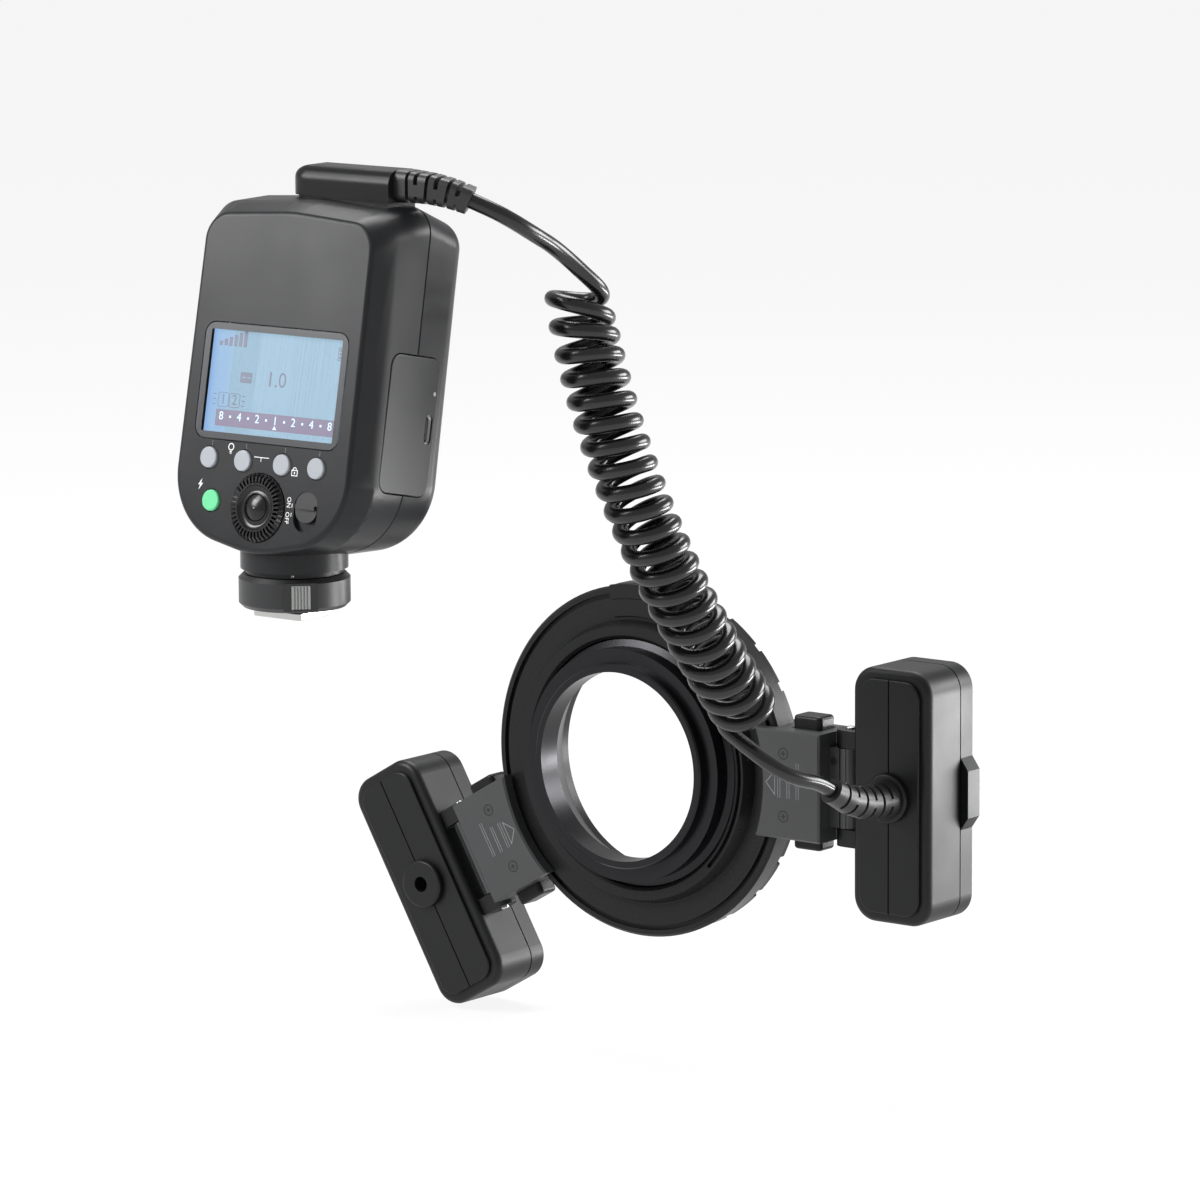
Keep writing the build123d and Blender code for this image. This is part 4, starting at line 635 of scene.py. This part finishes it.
socket_outer, socket_outer_corner = (3.2, 8.88), 1.58
socket_inner, socket_inner_corner = (2.6, 8.28), 1.28
socket_deep, socket_lift, socket_steps = 5.0, -2.9, 8
socket_outlines = [
    box_outline((0.0, 0.0), socket_outer, socket_outer_corner, socket_steps),
    box_outline((0.0, 0.0), socket_inner, socket_inner_corner, socket_steps),
]
socket_steel = grained("socket_shell", (0.35, 0.35, 0.35), 0.3, (0.3, 1, 0.05), 1.0)
socket_shape = flat_shape("pack_socket_shell", socket_outlines, socket_deep)
socket = lay(socket_shape, socket_face, socket_steel, lift=socket_lift)
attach(socket, "battery")

# Foot: neck, turning lock collar with a ribbed grey thumb grip, and the steel shoe plate.
# A small light grey dome on the neck, on its side towards the camera, is a painted glint.
dress(housing, "foot_neck")
collar_black = grained("collar_plastic", (0.018, 0.0185, 0.020), 0.38, (0.3, 5, 0.04))
dress(collar_black, "lock_collar")
grip_grey = grained("grey_thumb_grip", (0.33, 0.34, 0.33), 0.38, (0.3, 4, 0.05))
dress(grip_grey, "collar_grip")
steel = grained("bright_steel", (0.58, 0.58, 0.57), 0.24, (0.5, 4, 0.06), 1.0)
dress(steel, "shoe_plate", "lock_pin", "foot_screws")
# Painted glint: a light grey dome on the neck where it faces the camera, in the light guide's grey.
glint_reach, glint_height, glint_radius, glint_flatness = 0.0148, 0.0141, 0.00055, 0.85
glint_place = (glint_reach * sin(view_azimuth), -glint_reach * cos(view_azimuth), glint_height)
bpy.ops.object.select_all(action="DESELECT")
bpy.ops.mesh.primitive_uv_sphere_add(segments=24, ring_count=12, radius=glint_radius, location=glint_place)
painted_glint_dot = bpy.context.active_object
painted_glint_dot.name = "neck_painted_glint"
bpy.ops.object.transform_apply(location=True, rotation=True, scale=True)
bpy.ops.object.mode_set(mode="EDIT")
bpy.ops.mesh.select_all(action="SELECT")
bpy.ops.transform.resize(value=(1.0, 1.0, glint_flatness), center_override=glint_place)
bpy.ops.mesh.faces_shade_smooth()
bpy.ops.object.mode_set(mode="OBJECT")
painted_glint_dot.data.materials.append(light_guide_and_glint)
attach(painted_glint_dot, "control_unit")

# Cable block on top of the control unit, glued over its recessed base.
# Both are moulded in a deeper, smoother black than the housing.
block_black = grained("block_plastic", (0.010, 0.010, 0.011), 0.30, (0.3, 3, 0.04), gloss=0.2)
dress(block_black, "cable_block", "cable_block_base")

# Strain reliefs: soft boots moulded on both ends of the cord and cut by slots.
# The rubber is duller than the jacket that it grips.
boot_rubber = grained("boot_rubber", (0.018, 0.018, 0.019), 0.40, (0.3, 8, 0.05))
dress(boot_rubber, "upper_strain_relief", "lower_strain_relief")

# Lens ring: two mouldings of dull black, with a grained band on the rear one.
# The band lies outside the lip, and the carriages slide past it.
# Small raised marks on the lip show the click stops, and the adapter ring is anodised.
ring_axis_height = -0.0719
ring_colour = (0.010, 0.0102, 0.011)
ring_black = grained("ring_plastic", ring_colour, 0.36, (0.3, 3, 0.04), gloss=0.2)
dress(ring_black, "ring_front_rim", "ring_top_cover", "release_button")
band_reach, band_half_width = 0.0500, 0.0026
band_scale, band_detail, band_height = 1400.0, 2.0, 0.00012
grained_ring = new_material("grained_ring_plastic", ring_colour, 0.36, gloss=0.2)
tree = grained_ring.node_tree
ring_place = tree.nodes.new("ShaderNodeTexCoord")
ring_centre = tree.nodes.new("ShaderNodeMapping")
ring_centre.inputs["Location"].default_value = (0.0, 0.0, -ring_axis_height)
ring_centre.inputs["Scale"].default_value = (1.0, 0.0, 1.0)
tree.links.new(ring_place.outputs["Object"], ring_centre.inputs["Vector"])
ring_reach = tree.nodes.new("ShaderNodeVectorMath")
ring_reach.operation = "LENGTH"
tree.links.new(ring_centre.outputs["Vector"], ring_reach.inputs[0])
band_inside = tree.nodes.new("ShaderNodeMath")
band_inside.operation = "COMPARE"
band_inside.inputs[1].default_value = band_reach
band_inside.inputs[2].default_value = band_half_width
tree.links.new(ring_reach.outputs["Value"], band_inside.inputs[0])
ring_grain = tree.nodes.new("ShaderNodeTexNoise")
ring_grain.inputs["Scale"].default_value = band_scale
ring_grain.inputs["Detail"].default_value = band_detail
tree.links.new(ring_place.outputs["Object"], ring_grain.inputs["Vector"])
band_grain = tree.nodes.new("ShaderNodeMath")
band_grain.operation = "MULTIPLY"
tree.links.new(band_inside.outputs[0], band_grain.inputs[0])
tree.links.new(ring_grain.outputs["Fac"], band_grain.inputs[1])
ring_bump = tree.nodes.new("ShaderNodeBump")
ring_bump.inputs["Strength"].default_value = 1.0
ring_bump.inputs["Distance"].default_value = band_height
tree.links.new(band_grain.outputs[0], ring_bump.inputs["Height"])
tree.links.new(ring_bump.outputs["Normal"], tree.nodes["Principled BSDF"].inputs["Normal"])
dress(grained_ring, "ring_rear_housing")

click_count, click_reach, click_depth = 24, 0.0457, 0.1700
click_radius, click_flatness = 0.00042, 0.7
bpy.ops.object.select_all(action="DESELECT")
bpy.ops.mesh.primitive_uv_sphere_add(segments=12, ring_count=6, radius=click_radius)
first_click = bpy.context.active_object
bpy.ops.object.mode_set(mode="EDIT")
bpy.ops.mesh.select_all(action="SELECT")
bpy.ops.transform.resize(value=(1.0, click_flatness, 1.0))
bpy.ops.mesh.faces_shade_smooth()
bpy.ops.object.mode_set(mode="OBJECT")
click_marks = [first_click]
for index in range(1, click_count):
    copy = first_click.copy()
    copy.data = first_click.data.copy()
    bpy.context.scene.collection.objects.link(copy)
    click_marks.append(copy)
for index, mark in enumerate(click_marks):
    angle = 2 * pi * (index + 0.5) / click_count
    across, rise = click_reach * sin(angle), click_reach * cos(angle)
    mark.location = (across, click_depth, ring_axis_height + rise)
    mark.select_set(True)
bpy.context.view_layer.objects.active = first_click
bpy.ops.object.join()
bpy.ops.object.transform_apply(location=True, rotation=True, scale=True)
first_click.name = "ring_click_marks"
first_click.data.materials.append(ring_black)
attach(first_click, "control_unit")
adapter_black = grained("anodised_adapter", (0.02, 0.02, 0.022), 0.3, (0.3, 5, 0.05), 0.8)
dress(adapter_black, "adapter_ring")

# Carriages: each clips on the ring's rim and carries one head on its hinge.
# The cover has printed marks and two blackened screws in ringed recesses; a black cross and a black
# ring over each screw are painted shade of its slot and its recess.
carriage_grey = (0.034, 0.035, 0.0365)
carriage_black = grained("carriage_plastic", carriage_grey, 0.40, (0.3, 5, 0.04), gloss=0.6)
mark_print = grained("cover_mark_print", (0.17, 0.175, 0.18), 0.35, (0.2, 0.5, 0.04))
# Painted shade: a near-black cross and ring over each cover screw stand in for the shade in its slot
# and recess.
recess_shade_paint = grained("painted_screw_recess_shade", (0.002, 0.002, 0.002), 0.5, (0.3, 1, 0.04))
left_turn = radians(30.0)
ring_centre_place = Vector((0.0, 0.0, ring_axis_height))
onto_left = (
    Matrix.Translation(ring_centre_place)
    @ Matrix.Rotation(-left_turn, 4, "Y")
    @ Matrix.Translation(-ring_centre_place)
    @ Matrix.Scale(-1.0, 4, (1.0, 0.0, 0.0))
)


def for_left(piece, name):
    """Copy of a right-hand piece, mirrored and turned to the left carriage."""
    other = piece.copy()
    other.data = piece.data.copy()
    other.name = name
    bpy.context.scene.collection.objects.link(other)
    other.data.transform(onto_left)
    other.data.flip_normals()
    return other


def cross_outline(centre, arm, half_width):
    """Outline of a cross, in millimetres: one notched corner, turned four times."""
    corner = [(-arm, -half_width), (-half_width, -half_width), (-half_width, -arm)]
    outline = []
    for quarter in range(4):
        outline += [(centre[0] + x, centre[1] + y) for x, y in corner]
        corner = [(-y, x) for x, y in corner]
    return outline


cover_face = ((0.0, 0.1669, ring_axis_height), (1.0, 0.0, 0.0), (0.0, 0.0, 1.0))
triangle = [(54.6, 0.4), (58.4, 4.6), (58.4, -3.8)]
inner_triangle = [(55.05, 0.4), (58.12, 3.8), (58.12, -3.0)]
bar_places = ((59.9, -4.2, 4.8), (63.5, -4.2, 4.8), (67.1, -4.2, 7.6))
line_offset, line_width = 0.45, 0.24
mark_outlines = [triangle, inner_triangle]
for column, low, high in bar_places:
    for line in (-line_offset, line_offset):
        line_middle = (column + line, (low + high) / 2)
        mark_outlines.append(box_outline(line_middle, (line_width, high - low)))
mark_shape = flat_shape("right_cover_marks", mark_outlines, print_thick)
marks = lay(mark_shape, cover_face, mark_print)

# Where the painted shade lies: a cross on each screw and a ring round its head.
screw_column, screw_rows = 61.6, (-10.2, 10.2)
cross_arm, cross_half_width = 0.9, 0.2
shade_ring_outer, shade_ring_inner, shade_lift = 1.95, 1.6, -0.01
recess_shade_outlines = []
for row in screw_rows:
    screw_middle = (screw_column, row)
    recess_shade_outlines.append(cross_outline(screw_middle, cross_arm, cross_half_width))
    recess_shade_outlines.append(disc_outline(screw_middle, shade_ring_outer))
    recess_shade_outlines.append(disc_outline(screw_middle, shade_ring_inner))
recess_shade_shape = flat_shape("right_painted_recess_shade", recess_shade_outlines, print_thick)
recess_shade_piece = lay(recess_shade_shape, cover_face, recess_shade_paint, lift=shade_lift)
for side, pieces in (
    ("right", (marks, recess_shade_piece)),
    ("left", (for_left(marks, "left_cover_marks"), for_left(recess_shade_piece, "left_painted_recess_shade"))),
):
    for piece in pieces:
        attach(piece, f"{side}_carriage_body")
    dress(carriage_black, f"{side}_carriage", f"{side}_carriage_cover")
    dress(ring_black, f"{side}_clip_button_upper", f"{side}_clip_button_lower")
    dress(screw_steel, f"{side}_carriage_screws")
    dress(steel, f"{side}_hinge_pin")

# Flash heads: two shells of smooth black plastic, a ribbed clear window over the flash tube.
# The tube lies in a bright trough that throws its light forwards.
head_colour = (0.004, 0.0043, 0.005)
head_black = grained("head_plastic", head_colour, 0.45, (0.3, 4, 0.04), gloss=0.34)
diffuser_clear = grained("diffuser_acrylic", (0.82, 0.84, 0.85), 0.25, (1, 10, 0.05))
mirror = grained("bright_reflector", (0.86, 0.86, 0.85), 0.14, (1, 4, 0.04), 1.0)
tube_glass = grained("tube_glass", (0.75, 0.75, 0.7), 0.08, (1, 2, 0.02))
for side in ("right", "left"):
    dress(head_black, f"{side}_head_rear_shell", f"{side}_head_front_bezel")
    dress(diffuser_clear, f"{side}_diffuser")
    dress(mirror, f"{side}_reflector")
    dress(tube_glass, f"{side}_flash_tube")

# Stage: a plain pale floor under the lowest piece, and soft studio lamps.
# The floor looks white to the camera, in gloss and through glass, and keeps some of the shadow.
floor_gap, floor_size, white_share = 0.002, 30.0, 0.86
floor_height = cad_box[0].z - floor_gap
bpy.ops.mesh.primitive_plane_add(size=floor_size, location=(0.0, 0.0, floor_height))
floor = bpy.context.active_object
floor.name = "floor"
floor_paint = new_material("pale_floor", (0.88, 0.88, 0.88), 0.9, gloss=0.0)
tree = floor_paint.node_tree
light_path = tree.nodes.new("ShaderNodeLightPath")
seen = light_path.outputs["Is Camera Ray"]
for ray in ("Is Glossy Ray", "Is Transmission Ray"):
    either = tree.nodes.new("ShaderNodeMath")
    either.operation = "MAXIMUM"
    tree.links.new(seen, either.inputs[0])
    tree.links.new(light_path.outputs[ray], either.inputs[1])
    seen = either.outputs[0]
share = tree.nodes.new("ShaderNodeMath")
share.operation = "MULTIPLY"
share.inputs[1].default_value = white_share
tree.links.new(seen, share.inputs[0])
glow = tree.nodes.new("ShaderNodeEmission")
glow.inputs["Color"].default_value = (1.0, 1.0, 1.0, 1.0)
mix = tree.nodes.new("ShaderNodeMixShader")
tree.links.new(share.outputs[0], mix.inputs["Fac"])
tree.links.new(tree.nodes["Principled BSDF"].outputs[0], mix.inputs[1])
tree.links.new(glow.outputs[0], mix.inputs[2])
tree.links.new(mix.outputs[0], tree.nodes["Material Output"].inputs["Surface"])
floor.data.materials.append(floor_paint)


def softbox(name, direction, distance, size, power):
    """Rectangular area lamp, metres from the middle of the object and turned to it."""
    middle = (cad_box[0] + cad_box[1]) / 2
    place = middle + Vector(direction).normalized() * distance
    bpy.ops.object.light_add(type="AREA", location=place)
    lamp = bpy.context.active_object
    lamp.name = name
    lamp.data.shape = "RECTANGLE"
    lamp.data.size, lamp.data.size_y = size
    lamp.data.energy = power
    lamp.rotation_euler = (middle - place).to_track_quat("-Z", "Y").to_euler()


softbox("key_softbox", (-0.45, -0.60, 0.66), 1.6, (0.6, 0.6), 12.0)
softbox("panel_softbox", (-0.546, -0.710, 0.448), 0.67, (0.25, 0.2), 2.1)
softbox("right_softbox", (0.62, 0.76, 0.24), 1.5, (0.9, 0.45), 16.0)
softbox("low_right_strip", (0.67, 0.735, -0.185), 0.66, (0.5, 0.06), 3.4)
softbox("top_softbox", (-0.25, 0.45, 0.86), 1.5, (0.9, 0.9), 17.0)

world_grey, world_strength = (0.9, 0.9, 0.9, 1.0), 0.5
world = bpy.data.worlds.new("studio")
bpy.context.scene.world = world
world.use_nodes = True
background = world.node_tree.nodes["Background"]
background.inputs["Color"].default_value = world_grey
background.inputs["Strength"].default_value = world_strength
bpy.context.scene.view_settings.view_transform = "Standard"
